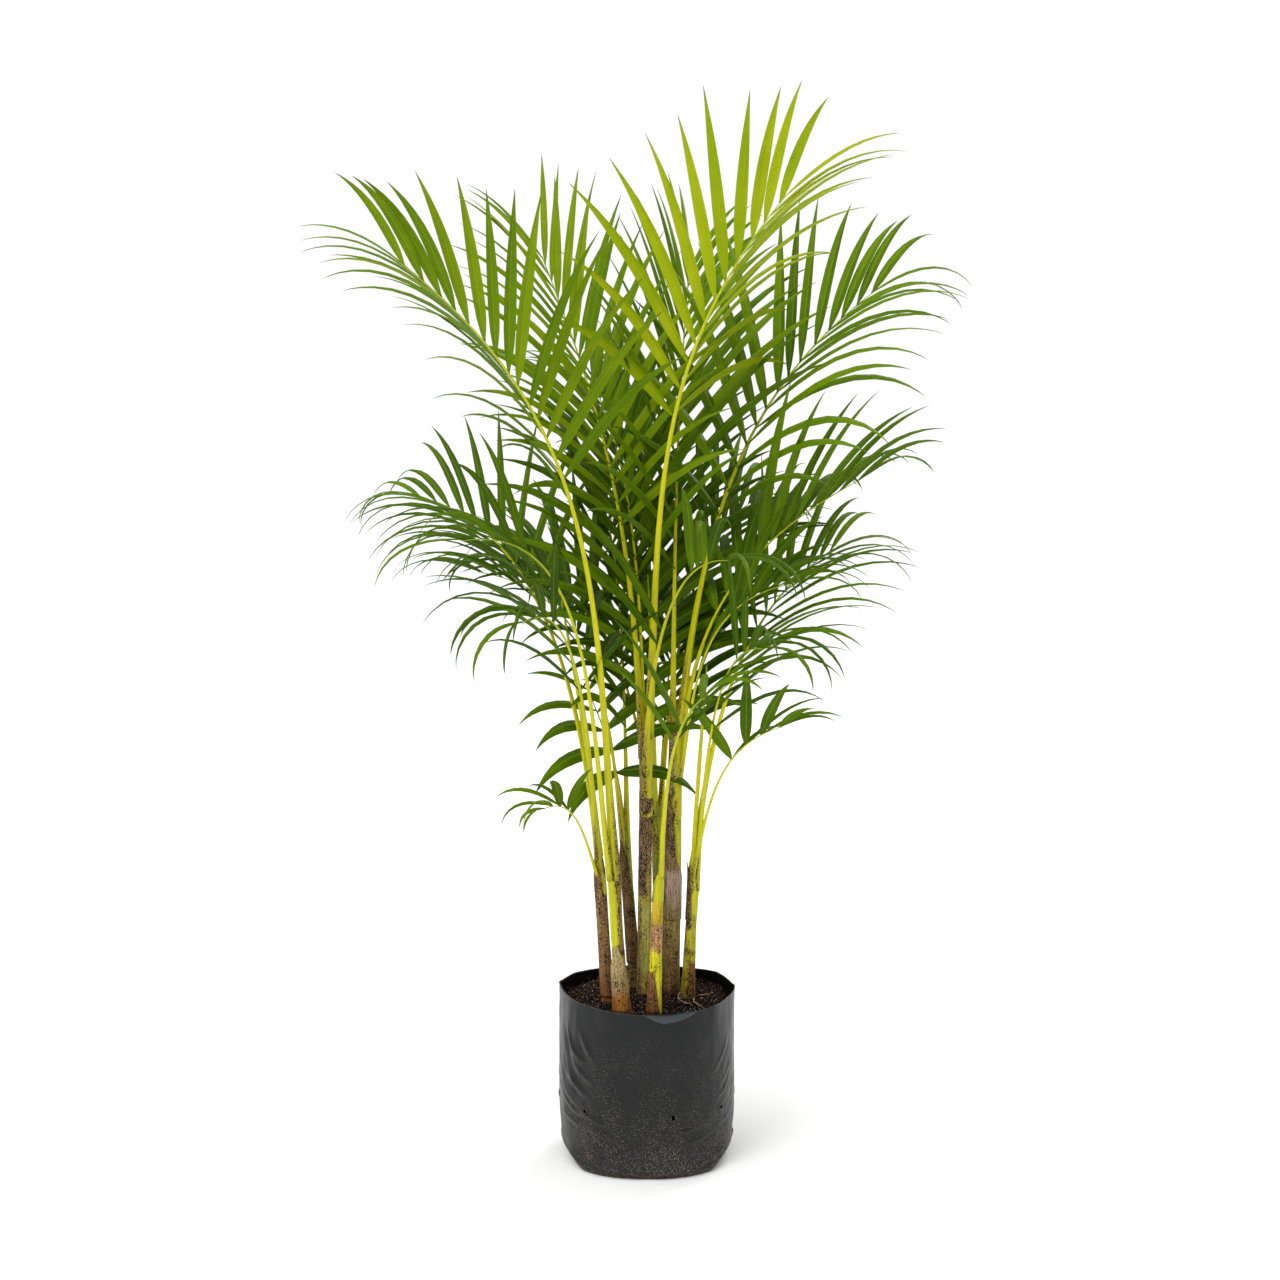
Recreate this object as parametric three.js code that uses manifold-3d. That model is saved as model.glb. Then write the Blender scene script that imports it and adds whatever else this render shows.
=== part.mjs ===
// A clump-forming feather palm growing in a nursery film bag, in millimetres, +Z up.
// The origin is the middle of the bag's underside. +X is to the right of the plant's best side and -Y is its front.
// Canes stand in a body of potting mix, each cane carries feather leaves (fronds), and every frond is one solid:
// a stalk with two rows of leaflets.

import * as THREE from "three";
import { mergeVertices } from "three/addons/utils/BufferGeometryUtils.js";
import Module from "manifold-3d";

const wasm = await Module();
wasm.setup();

// ---------------------------------------------------------------- driving dimensions

const CLEARANCE = 0.35; // gap between two pieces that touch

const bag = {
  radius: 113, // a film tube that is 356 mm wide laid flat
  height: 220,
  film: 1.2,
  footSquareness: 2.3, // the foot is a rounded square: a superellipse with this exponent, where 2 is a circle
  footRound: 8, // height of the rounded edge between foot and wall
  squareUpTo: 75, // above this height the bag is round
  rimWave: 4, // the rim stands this much higher at the two side creases of the flat tube
  sides: 40,
};

const drain = {
  radius: 3,
  // Each row's height, and where its holes face: degrees from +X.
  rows: [
    { height: 26, facings: [6, 70, 112, 178] },
    { height: 81, facings: [2, 47, 93, 138, 184, 226, 287, 326] },
  ],
};

const mix = {
  belowRim: 15,
  crown: 8, // the surface is this much higher in the middle
  buried: 60, // how deep a cane goes in
};

const blade = {
  ridge: 0.9, // a leaflet's ridge above its edges
  widestAt: 0.3, // share of its length
  tipAt: 0.72, // where the long drawn-out tip starts
  tipWidth: 0.55, // width there, as a share of the widest
  baseAngle: 46, // degrees between leaflet and stalk at the first pair
  tipAngle: 20, // the same at the last pair
  lift: 32, // degrees that the two rows fold up into a V
  shortest: 0.6, // length of the last leaflet, as a share of the longest
  sagFrom: 2, // a leaflet bends mostly near its tip: exponent of its sag along its length
  facesUp: 1.2, // how strongly a leaflet that stands out sideways turns its face to the sky
};

const stalk = { sides: 4, steps: 10, tipRadius: 1.1, reachShare: 0.42 };

// Where a cane leaves the mix, where its crown is, seen from above, how high the crown stands over the mix's edge, and
// the cane's radius at the mix, at half height and at the crown.
const canes = [
  { foot: [-50, -26], crown: [-61, -26], tall: 200, radii: [8, 6.5, 6] },
  { foot: [-32, -70], crown: [-43, -62], tall: 187, radii: [10.5, 7.5, 7] },
  { foot: [-15, 34], crown: [-30, 50], tall: 215, radii: [8.5, 7.5, 6] },
  { foot: [-4, 5], crown: [-1, 0], tall: 355, radii: [9, 8.5, 7.5] },
  { foot: [9, -78], crown: [14, -70], tall: 181, radii: [9, 7.5, 6] },
  { foot: [31, 8], crown: [37, 20], tall: 355, radii: [11, 9.5, 8] },
  { foot: [52, -16], crown: [60, -28], tall: 187, radii: [9.5, 7, 6] },
  { foot: [18, 74], crown: [12, 96], tall: 245, radii: [9, 7.5, 6.5] },
];

// One row for each frond. cane: the cane it grows on. below: how far under the crown it starts. side, off: where it starts
// in the cane, as a turn and a distance from the axis. turn: the way it leans, in degrees from +X seen from above.
// reach, rise: from its start to its stalk's tip, across and up. leaves, nods: the stalk's slope at its start and tip.
// roll: how far its two rows are turned about the stalk. bare: the share of the stalk with no leaflets.
// pairs, long, wide: its leaflets. sag: how far a leaflet's tip hangs, as a share of its length. thick: the stalk's
// radius at its start. open: degrees more between leaflet and stalk than on the other fronds.
const frondTable = [
  ["frond_top_right", 4, 15, 40, 3, -43, 222, 680, 86, 42, -40, 0.56, 10, 255, 18, 0.42, 5, 0],
  ["frond_top_left", 2, 12, 36, 3.5, 216, 300, 765, 85, 34, 40, 0.55, 12, 245, 18, 0.5, 5.2, 0],
  ["frond_top_middle", 4, 40, 150, 4, 128, 214, 632, 85, 56, -35, 0.44, 11, 245, 17, 0.42, 4.4, 0],
  ["frond_high_right", 6, 15, 0, 3, 40, 345, 562, 82, 28, 40, 0.4, 12, 255, 18, 0.5, 5, 0],
  ["frond_mid_right", 6, 40, 350, 5, 14, 240, 350, 85, 26, -25, 0.42, 9, 230, 18, 0.5, 4, 0],
  ["frond_right", 7, 10, 110, 3, 48, 282, 385, 80, 18, 38, 0.46, 9, 225, 17, 0.55, 4.2, 0],
  ["frond_low_right", 7, 23, 240, 4.5, -40, 140, 215, 76, 20, -20, 0.66, 4, 130, 18, 0.35, 2.6, 0],
  ["frond_low_front", 5, 6, 20, 3.5, -71, 148, 255, 84, 24, -10, 0.62, 4, 180, 18, 0.4, 3, 0],
  ["frond_left", 1, 10, 110, 3.5, 136, 345, 440, 82, 4, -30, 0.48, 10, 205, 17, 0.55, 3.8, 0],
  ["frond_front_left", 2, 14, 225, 4.5, 225, 240, 448, 80, -2, 32, 0.5, 9, 225, 16, 0.46, 3.8, 0],
  ["frond_low_left", 1, 25, 250, 4, 248, 230, 350, 80, -8, 20, 0.48, 7, 215, 17, 0.5, 3.4, 0],
  ["frond_young_left", 3, 10, 106, 3, 140, 62, 185, 86, 60, -35, 0.4, 4, 170, 22, 0.3, 3, 38],
  ["frond_small_left", 1, 37, 230, 3, 225, 96, 108, 66, -10, 10, 0.7, 3, 95, 15, 0.6, 2.2, 0],
  ["frond_back_middle", 3, 35, 60, 4, 102, 225, 470, 85, 16, 15, 0.44, 8, 235, 18, 0.42, 3.8, 0],
  ["frond_front_right", 4, 60, 260, 6, 295, 235, 300, 86, 2, -15, 0.4, 8, 225, 18, 0.46, 3.8, 0],
  ["frond_high_back", 4, 80, 90, 6, 108, 225, 505, 85, 30, -20, 0.4, 9, 245, 18, 0.4, 4, 0],
  ["frond_mid_low_right", 6, 90, 330, 4, -25, 150, 280, 80, 14, -25, 0.42, 7, 200, 17, 0.46, 3.2, 0],
  ["frond_back", 8, 20, 180, 4, 95, 240, 520, 84, 26, 10, 0.44, 9, 245, 18, 0.4, 4, 0],
  ["frond_back_right", 8, 30, 20, 4.5, 62, 270, 395, 82, 12, 30, 0.46, 8, 225, 17, 0.46, 3.4, 0],
  ["frond_back_left", 8, 40, 220, 4, 140, 250, 335, 80, 4, -25, 0.46, 8, 220, 17, 0.48, 3.4, 0],
  ["frond_side_left", 3, 25, 220, 3, 170, 190, 355, 84, 8, 0, 0.48, 7, 215, 17, 0.5, 3.2, 0],
  ["frond_top_back", 6, 60, 120, 6.5, 84, 235, 640, 86, 44, 20, 0.46, 10, 265, 17, 0.32, 4, 0],
  ["frond_side_right", 7, 37, 350, 4.5, -72, 230, 345, 80, 6, -20, 0.46, 7, 215, 17, 0.48, 3, 0],
  ["frond_low_back", 8, 55, 300, 4, 78, 215, 290, 78, 0, 15, 0.48, 7, 205, 16, 0.5, 3, 0],
];
const columns = ["name", "cane", "below", "side", "off", "turn", "reach", "rise", "leaves", "nods", "roll", "bare"];
columns.push("pairs", "long", "wide", "sag", "thick", "open");
const fronds = frondTable.map((row) => Object.fromEntries(row.map((value, i) => [columns[i], value])));

// Unopened leaves, each a pointed rod that stands on its cane's crown.
const spears = [
  { name: "spear_left", cane: 1, side: 320, turn: 190, reach: 48, rise: 325, leaves: 84, nods: 80, thick: 3 },
  { name: "spear_right", cane: 7, side: 200, turn: 60, reach: 35, rise: 250, leaves: 84, nods: 82, thick: 2.6 },
  { name: "spear_back", cane: 8, turn: 250, reach: 30, rise: 300, leaves: 86, nods: 83, thick: 2.8 },
];

// Dry leaf bases that still wrap a cane. from, to: heights over the mix at the cane. turn: which way the flap faces,
// span: degrees of the cane it wraps at its foot.
const sheaths = [
  { cane: 1, from: 20, to: 187, turn: 200, span: 170 },
  { cane: 2, from: 8, to: 92, turn: 250, span: 190 },
  { cane: 3, from: 32, to: 192, turn: 270, span: 200 },
  { cane: 5, from: 8, to: 54, turn: 205, span: 170 },
  { cane: 6, from: 122, to: 262, turn: 200, span: 180 },
  { cane: 7, from: 120, to: 178, turn: 160, span: 170 },
];
const SHEATH_WALL = 1.1;

// Fine roots that lie on the mix: start, bend and end, seen from above, and the radius.
const roots = [
  { from: [40, -12], over: [38, -36], to: [56, -50], radius: 0.9 },
  { from: [59, -29], over: [62, -42], to: [70, -58], radius: 0.8 },
  { from: [66, -10], over: [80, 2], to: [87, 2], radius: 0.8 },
];

// ---------------------------------------------------------------- colours

const finish = (color, roughness) => new THREE.MeshStandardMaterial({ color, roughness, metalness: 0 });
const film = finish(0x2f2f2e, 0.45);
const coir = finish(0x4a2f1c, 0.95);
const caneSkin = finish(0x8a7420, 0.6);
const leafGreen = finish(0x4f7a12, 0.5);
const spearGreen = finish(0xa9b51a, 0.5);
const drySheath = finish(0x8a6238, 0.9);
const rootSkin = finish(0xb98a7a, 0.8);

// ---------------------------------------------------------------- shapes

const UP = new THREE.Vector3(0, 0, 1);
const radians = THREE.MathUtils.degToRad;
const mixNumbers = THREE.MathUtils.lerp;

// A direction from its turn about +Z and its slope above the horizontal.
function direction(turn, slope) {
  const flat = Math.cos(slope);
  return new THREE.Vector3(flat * Math.cos(turn), flat * Math.sin(turn), Math.sin(slope));
}

// A closed body through rings of points. A ring of one point is a pointed end, and a longer end ring gets a flat cap.
// Rings run anticlockwise seen from the body's far end.
function loft(rings) {
  const points = rings.flat();
  const starts = [];
  let count = 0;
  for (const ring of rings) {
    starts.push(count);
    count += ring.length;
  }
  const faces = [];
  for (let row = 0; row + 1 < rings.length; row++) {
    const sides = Math.max(rings[row].length, rings[row + 1].length);
    const low = (i) => starts[row] + (rings[row].length === 1 ? 0 : i % sides);
    const high = (i) => starts[row + 1] + (rings[row + 1].length === 1 ? 0 : i % sides);
    for (let i = 0; i < sides; i++) {
      if (rings[row].length > 1) faces.push(low(i), low(i + 1), high(i));
      if (rings[row + 1].length > 1) faces.push(low(i + 1), high(i + 1), high(i));
    }
  }
  const first = rings[0].length;
  const last = rings[rings.length - 1].length;
  for (let i = 1; i + 1 < first; i++) faces.push(0, i + 1, i);
  for (let i = 1; i + 1 < last; i++) faces.push(count - last, count - last + i, count - last + i + 1);
  const geometry = new THREE.BufferGeometry().setFromPoints(points);
  geometry.setIndex(faces);
  return geometry;
}

// A closed geometry as a solid, and a solid as a geometry.
function solid(geometry) {
  const bare = geometry.clone();
  bare.deleteAttribute("normal");
  bare.deleteAttribute("uv");
  const merged = mergeVertices(bare, 1e-4);
  return new wasm.Manifold(
    new wasm.Mesh({
      numProp: 3,
      vertProperties: new Float32Array(merged.attributes.position.array),
      triVerts: new Uint32Array(merged.index.array),
    }),
  );
}

function shape(body) {
  const mesh = body.getMesh();
  const points = new Float32Array(mesh.numVert * 3);
  for (let i = 0; i < mesh.numVert; i++) {
    for (let k = 0; k < 3; k++) points[i * 3 + k] = mesh.vertProperties[i * mesh.numProp + k];
  }
  const geometry = new THREE.BufferGeometry();
  geometry.setAttribute("position", new THREE.BufferAttribute(points, 3));
  geometry.setIndex(new THREE.BufferAttribute(new Uint32Array(mesh.triVerts), 1));
  geometry.computeVertexNormals();
  return geometry;
}

// The largest of the bodies that a cut leaves.
function largest(body) {
  return body.decompose().reduce((a, b) => (a.volume() > b.volume() ? a : b));
}

function overlaps(a, b) {
  const one = a.boundingBox();
  const two = b.boundingBox();
  for (let k = 0; k < 3; k++) {
    if (one.max[k] < two.min[k] || two.max[k] < one.min[k]) return false;
  }
  return a.intersect(b).volume() > 1e-6;
}

// A round bar along a curve, with its radius given at each share of its length.
function bar(path, radiusAt, sides, steps, frameUp) {
  const rings = [];
  for (let i = 0; i <= steps; i++) {
    const share = i / steps;
    const centre = path.getPoint(share);
    const along = path.getTangent(share);
    const across = new THREE.Vector3().crossVectors(frameUp, along).normalize();
    const over = new THREE.Vector3().crossVectors(along, across);
    const ring = [];
    for (let k = 0; k < sides; k++) {
      const angle = (2 * Math.PI * k) / sides;
      ring.push(
        centre
          .clone()
          .addScaledVector(across, radiusAt(share) * Math.cos(angle))
          .addScaledVector(over, radiusAt(share) * Math.sin(angle)),
      );
    }
    rings.push(ring);
  }
  return loft(rings);
}

// ---------------------------------------------------------------- bag and mix

// The foot's outline for a half width of 1, and the half width that the film tube, which cannot stretch, then has.
function footOutline(angle) {
  const power = bag.footSquareness;
  return 1 / Math.pow(Math.abs(Math.cos(angle)) ** power + Math.abs(Math.sin(angle)) ** power, 1 / power);
}
function footHalfWidth() {
  const steps = 360;
  let round = 0;
  for (let i = 0; i < steps; i++) {
    const from = direction((2 * Math.PI * i) / steps, 0).multiplyScalar(footOutline((2 * Math.PI * i) / steps));
    const next = (2 * Math.PI * (i + 1)) / steps;
    round += from.distanceTo(direction(next, 0).multiplyScalar(footOutline(next)));
  }
  return (2 * Math.PI * bag.radius) / round;
}
const footWide = footHalfWidth();

// The bag's wall, seen from above, at one height: the foot's outline, which becomes a circle.
function wallRadius(angle, height) {
  const square = footWide * footOutline(angle);
  const round = THREE.MathUtils.smoothstep(height, 0, bag.squareUpTo);
  const below = Math.max(0, bag.footRound - height);
  const tuck = bag.footRound - Math.sqrt(bag.footRound ** 2 - below ** 2);
  return mixNumbers(square, bag.radius, round) - tuck * 0.6;
}

function bagRing(height, inset, rise = 0) {
  const ring = [];
  for (let i = 0; i < bag.sides; i++) {
    const angle = (2 * Math.PI * i) / bag.sides;
    const out = wallRadius(angle, height) - inset;
    ring.push(new THREE.Vector3(out * Math.cos(angle), out * Math.sin(angle), height + rise * Math.cos(angle) ** 2));
  }
  return ring;
}

const wallHeights = [0, 0.35, 1].map((share) => share * bag.footRound).concat([42, bag.squareUpTo, 145]);
const shell = [...wallHeights.map((z) => bagRing(z, 0)), bagRing(bag.height, 0, bag.rimWave)];
const hollow = [bagRing(0, bag.film).map((p) => p.setZ(bag.film))];
for (const z of wallHeights.slice(1)) hollow.push(bagRing(z, bag.film));
hollow.push(bagRing(bag.height, bag.film, bag.rimWave));
const above = bagRing(bag.height, bag.film).map((p) => p.clone().setZ(bag.height + 40));
let bagBody = solid(loft(shell)).subtract(solid(loft([...hollow, above])));
for (const { height, facings } of drain.rows) {
  for (const facing of facings) {
    const out = direction(radians(facing), 0);
    const start = out.clone().multiplyScalar(bag.radius * 0.7).setZ(height);
    const end = out.clone().multiplyScalar(bag.radius * 1.3).setZ(height);
    bagBody = bagBody.subtract(solid(bar(new THREE.LineCurve3(start, end), () => drain.radius, 6, 1, UP)));
  }
}

const mixTop = bag.height - mix.belowRim;
const inMix = bag.film + CLEARANCE;
function mixSurface(x, y) {
  return mixTop + mix.crown * Math.max(0, 1 - (x * x + y * y) / bag.radius ** 2);
}
const mixRings = [bagRing(0, inMix).map((p) => p.setZ(inMix))];
for (const z of wallHeights.slice(1)) mixRings.push(bagRing(z, inMix));
for (const share of [1, 0.75, 0.4]) {
  const ring = bagRing(mixTop, inMix).map((p) => p.multiplyScalar(share));
  mixRings.push(ring.map((p) => p.setZ(mixSurface(p.x, p.y))));
}
mixRings.push([new THREE.Vector3(0, 0, mixSurface(0, 0))]);
let mixBody = solid(loft(mixRings));

// ---------------------------------------------------------------- canes

function canePath(cane) {
  const [x, y] = cane.foot;
  const foot = new THREE.Vector3(x, y, mixSurface(x, y));
  const crown = new THREE.Vector3(...cane.crown, mixTop + cane.tall);
  const lean = crown.clone().sub(foot).normalize();
  return { foot, crown, lean, start: foot.clone().addScaledVector(lean, -mix.buried) };
}

function caneShape(cane, grow) {
  const { foot, crown, start, lean } = canePath(cane);
  const middle = foot.clone().lerp(crown, 0.45);
  const stations = [
    [start.clone().addScaledVector(lean, -grow), cane.radii[0] * 0.9],
    [foot, cane.radii[0]],
    [middle, cane.radii[1]],
    [crown.clone().addScaledVector(lean, grow), cane.radii[2]],
  ];
  return loft(
    stations.map(([centre, radius]) => {
      const ring = [];
      for (let i = 0; i < 8; i++) {
        const angle = (i * Math.PI) / 4;
        const out = (radius + grow) * (grow ? 1.03 : 1);
        ring.push(centre.clone().add(new THREE.Vector3(out * Math.cos(angle), out * Math.sin(angle), 0)));
      }
      return ring;
    }),
  );
}

const caneBodies = canes.map((cane) => solid(caneShape(cane, 0)));
const caneSpaces = canes.map((cane) => solid(caneShape(cane, CLEARANCE)));
for (const space of caneSpaces) mixBody = mixBody.subtract(space);

// The point on a cane's axis at one height over the mix.
function onCane(cane, height) {
  const { foot, crown } = canePath(cane);
  return foot.clone().lerp(crown, height / (crown.z - foot.z));
}

// How high a cane stands over the mix at its own foot.
function caneTall(cane) {
  const { foot, crown } = canePath(cane);
  return crown.z - foot.z;
}

// ---------------------------------------------------------------- stalks and spears

// A stalk bends in one upright plane, from its slope at the cane to its slope at the tip.
function stalkPath(leaf) {
  const cane = canes[leaf.cane - 1];
  const turn = radians(leaf.turn);
  const start = onCane(cane, caneTall(cane) - leaf.below).addScaledVector(direction(radians(leaf.side ?? leaf.turn), 0), leaf.off ?? 3);
  const end = start.clone().add(new THREE.Vector3(leaf.reach * Math.cos(turn), leaf.reach * Math.sin(turn), leaf.rise));
  const pull = start.distanceTo(end) * stalk.reachShare;
  return new THREE.CubicBezierCurve3(
    start,
    start.clone().addScaledVector(direction(turn, radians(leaf.leaves)), pull),
    end.clone().addScaledVector(direction(turn, radians(leaf.nods)), -pull),
    end,
  );
}

const stalkRadius = (leaf) => (share) =>
  share < leaf.bare
    ? mixNumbers(leaf.thick, leaf.thick * 0.55, share / leaf.bare)
    : mixNumbers(leaf.thick * 0.55, stalk.tipRadius, (share - leaf.bare) / (1 - leaf.bare));

// A point on the stalk's own axis, which runs straight between its rings.
function onStalk(path, share) {
  const step = Math.min(Math.floor(share * stalk.steps), stalk.steps - 1);
  const low = path.getPoint(step / stalk.steps);
  return low.lerp(path.getPoint((step + 1) / stalk.steps), share * stalk.steps - step);
}

const sideways = (leaf) => direction(radians(leaf.turn) + Math.PI / 2, 0);

function seatedOnCane(body, leaf) {
  return largest(body.subtract(caneSpaces[leaf.cane - 1]));
}

// Pieces already in place: what each new leaflet keeps clear of.
const placed = [];
canes.forEach((cane, i) => placed.push({ owner: "cane_" + (i + 1), body: caneBodies[i] }));

const frondBodies = new Map();
for (const leaf of fronds) {
  const path = stalkPath(leaf);
  const radiusAt = stalkRadius(leaf);
  const make = (grow) => {
    const up = new THREE.Vector3().crossVectors(sideways(leaf), path.getTangent(0.5)).normalize();
    return solid(bar(path, (share) => radiusAt(share) + grow, stalk.sides, stalk.steps, up));
  };
  let body = seatedOnCane(make(0), leaf);
  for (const other of placed) {
    if (!other.space || !overlaps(body, other.space)) continue;
    const cut = largest(body.subtract(other.space));
    if (cut.volume() < 0.97 * body.volume()) {
      console.log(leaf.name + " loses " + (1 - cut.volume() / body.volume()).toFixed(2) + " to " + other.owner);
    }
    body = cut;
  }
  frondBodies.set(leaf.name, body);
  placed.push({ owner: leaf.name, body, space: make(CLEARANCE) });
}

for (const spear of spears) {
  const leaf = { ...spear, below: 5, off: spear.off ?? 2, side: spear.side };
  const path = stalkPath(leaf);
  const radiusAt = (share) => mixNumbers(spear.thick, 0.8, share ** 1.5);
  let body = seatedOnCane(solid(bar(path, radiusAt, 5, 5, sideways(spear))), leaf);
  for (const other of placed) {
    if (!other.space || !overlaps(body, other.space)) continue;
    body = largest(body.subtract(other.space));
  }
  spear.body = body;
  placed.push({ owner: spear.name, body });
}

// ---------------------------------------------------------------- leaflets

// One leaflet: a narrow blade folded along its ridge, pointed at both ends.
function leaflet(root, along, face, length, width, sag, grow) {
  const level = UP.clone().addScaledVector(along, -UP.dot(along));
  const ridgeWay = face.clone().addScaledVector(level, blade.facesUp);
  ridgeWay.addScaledVector(along, -ridgeWay.dot(along)).normalize();
  const across = new THREE.Vector3().crossVectors(ridgeWay, along);
  const centre = (t) =>
    root
      .clone()
      .addScaledVector(along, length * t * (1 - 0.5 * (sag * level.length() * t) ** 2))
      .addScaledVector(level, -length * sag * t ** blade.sagFrom);
  const section = (t, wide) => {
    const middle = centre(t);
    return [
      middle.clone().addScaledVector(across, -wide / 2 - grow).addScaledVector(ridgeWay, -grow),
      middle.clone().addScaledVector(across, wide / 2 + grow).addScaledVector(ridgeWay, -grow),
      middle.clone().addScaledVector(ridgeWay, blade.ridge + grow),
    ];
  };
  const rings = [
    [root.clone().addScaledVector(along, -1)],
    section(blade.widestAt, width),
    section(blade.tipAt, width * blade.tipWidth),
    [centre(1)],
  ];
  return solid(loft(rings));
}

// Other ways to hold a leaflet that would meet a neighbour: more or less lift and sweep, in degrees.
const ways = [[0, 0], [10, 0], [-12, 0], [0, 9], [0, -9], [20, 5], [-22, 5], [14, -12], [-14, -12], [30, 8], [-34, 8]];

let left = 0;
for (const leaf of fronds) {
  const path = stalkPath(leaf);
  const side = sideways(leaf);
  let body = frondBodies.get(leaf.name);
  const others = placed.filter((other) => other.owner !== leaf.name);
  const kept = [];
  for (let i = 0; i < leaf.pairs; i++) {
    const u = i / (leaf.pairs - 1);
    for (const hand of [-1, 1]) {
      const share = mixNumbers(leaf.bare, 0.985, u ** 0.9) + (hand > 0 ? 0.006 : -0.006);
      const root = onStalk(path, share);
      const forward = path.getTangent(share);
      const over = new THREE.Vector3().crossVectors(forward, side).normalize();
      const across = side.clone().applyAxisAngle(forward, radians(leaf.roll));
      over.applyAxisAngle(forward, radians(leaf.roll));
      const length = leaf.long * mixNumbers(Math.min(1, 0.72 + 1.4 * u), blade.shortest, u ** 3);
      const width = leaf.wide * mixNumbers(1, 0.6, u ** 2);
      let done = false;
      for (const [lift, sweep] of ways) {
        const alpha = radians(mixNumbers(blade.baseAngle, blade.tipAngle, u) + leaf.open + sweep);
        const beta = radians(blade.lift + lift);
        const spread = across
          .clone()
          .multiplyScalar(hand * Math.cos(beta))
          .addScaledVector(over, Math.sin(beta));
        const along = forward.clone().multiplyScalar(Math.cos(alpha)).addScaledVector(spread, Math.sin(alpha));
        const test = leaflet(root, along, over, length, width, leaf.sag, CLEARANCE);
        if (others.some((other) => overlaps(test, other.body))) continue;
        kept.push(leaflet(root, along, over, length, width, leaf.sag, 0));
        done = true;
        break;
      }
      if (!done) left++;
    }
  }
  for (const one of kept) {
    body = body.add(one);
    placed.push({ owner: leaf.name, body: one });
  }
  frondBodies.set(leaf.name, body);
}
if (left) console.log(left + " leaflets left out");

// ---------------------------------------------------------------- dry leaf bases and roots

// A dry sheath: a shell round the cane, cut to a flap that narrows to a point at its top.
function sheathBody(sheath) {
  const cane = canes[sheath.cane - 1];
  const ring = (height, grow) => {
    const centre = onCane(cane, height);
    const share = height / caneTall(cane);
    const radius =
      share < 0.45
        ? mixNumbers(cane.radii[0], cane.radii[1], share / 0.45)
        : mixNumbers(cane.radii[1], cane.radii[2], (share - 0.45) / 0.55);
    const points = [];
    for (let i = 0; i < 8; i++) {
      const angle = (i * Math.PI) / 4;
      const out = (radius + grow) * 1.03;
      points.push(centre.clone().add(new THREE.Vector3(out * Math.cos(angle), out * Math.sin(angle), 0)));
    }
    return points;
  };
  const levels = [0, 0.33, 0.66, 1].map((share) => mixNumbers(sheath.from, sheath.to, share));
  const outer = solid(loft(levels.map((z) => ring(z, CLEARANCE + SHEATH_WALL))));
  const far = [sheath.from - 5, ...levels.slice(1, 3), sheath.to + 5];
  const inner = solid(loft(far.map((z) => ring(z, CLEARANCE))));
  const turn = radians(sheath.turn);
  const out = direction(turn, 0);
  const across = direction(turn + Math.PI / 2, 0);
  const back = cane.radii[0] * Math.cos(radians(sheath.span / 2));
  const flap = (height, half) => {
    const centre = onCane(cane, height);
    return [
      [back, -half],
      [30, -half],
      [30, half],
      [back, half],
    ].map(([a, b]) => centre.clone().addScaledVector(out, a).addScaledVector(across, b));
  };
  const cutter = solid(loft([flap(sheath.from - 1, 16), flap(mixNumbers(sheath.from, sheath.to, 0.5), 12), flap(sheath.to + 1, 1.5)]));
  return largest(outer.subtract(inner).intersect(cutter));
}

const sheathBodies = sheaths.map((sheath, i) => {
  let body = sheathBody(sheath);
  for (const leaf of [...fronds, ...spears]) {
    if (leaf.cane !== sheath.cane || !leaf.bare) continue;
    const path = stalkPath(leaf);
    const radiusAt = stalkRadius(leaf);
    const up = new THREE.Vector3().crossVectors(sideways(leaf), path.getTangent(0.5)).normalize();
    const space = solid(bar(path, (share) => radiusAt(share) + CLEARANCE, stalk.sides, stalk.steps, up));
    if (overlaps(body, space)) body = largest(body.subtract(space));
  }
  return body;
});

const rootBodies = roots.map((root) => {
  const at = ([x, y]) => new THREE.Vector3(x, y, mixSurface(x, y) + root.radius + CLEARANCE);
  const path = new THREE.QuadraticBezierCurve3(at(root.from), at(root.over), at(root.to));
  return solid(bar(path, () => root.radius, 5, 5, UP));
});

// ---------------------------------------------------------------- the plant

const plant = new THREE.Group();
function piece(name, body, material) {
  const mesh = new THREE.Mesh(shape(body), material);
  mesh.name = name;
  plant.add(mesh);
}
piece("bag", bagBody, film);
piece("potting_mix", mixBody, coir);
caneBodies.forEach((body, i) => piece("cane_" + (i + 1), body, caneSkin));
sheathBodies.forEach((body, i) => piece("dry_sheath_" + sheaths[i].cane, body, drySheath));
for (const spear of spears) piece(spear.name, spear.body, spearGreen);
for (const leaf of fronds) piece(leaf.name, frondBodies.get(leaf.name), leafGreen);
rootBodies.forEach((body, i) => piece("surface_root_" + (i + 1), body, rootSkin));

export default plant;
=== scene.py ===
"""A feather palm in a nursery film bag: the visual model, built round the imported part.

Metres, Z up, -Y is the front. The origin is the middle of the bag's underside. Sizes in the tables are in
millimetres.
"""

import math
import random

import bpy
import numpy as np
from mathutils import Matrix, Vector, noise


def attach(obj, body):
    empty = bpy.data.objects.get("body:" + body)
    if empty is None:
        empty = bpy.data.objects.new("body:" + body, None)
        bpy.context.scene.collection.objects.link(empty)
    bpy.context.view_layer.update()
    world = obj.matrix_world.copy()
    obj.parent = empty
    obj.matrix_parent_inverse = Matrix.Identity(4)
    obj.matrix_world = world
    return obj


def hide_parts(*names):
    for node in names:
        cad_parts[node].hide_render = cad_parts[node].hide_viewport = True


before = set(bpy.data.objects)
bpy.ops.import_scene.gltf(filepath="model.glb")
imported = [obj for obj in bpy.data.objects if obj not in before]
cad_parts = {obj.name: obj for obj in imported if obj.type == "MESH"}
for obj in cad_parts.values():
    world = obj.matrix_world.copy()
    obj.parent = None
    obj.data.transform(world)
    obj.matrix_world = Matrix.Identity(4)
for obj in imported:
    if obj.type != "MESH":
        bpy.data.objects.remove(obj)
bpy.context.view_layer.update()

MM = 0.001
UP = Vector((0, 0, 1))

# ------------------------------------------------------------------ sizes, in millimetres

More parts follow.
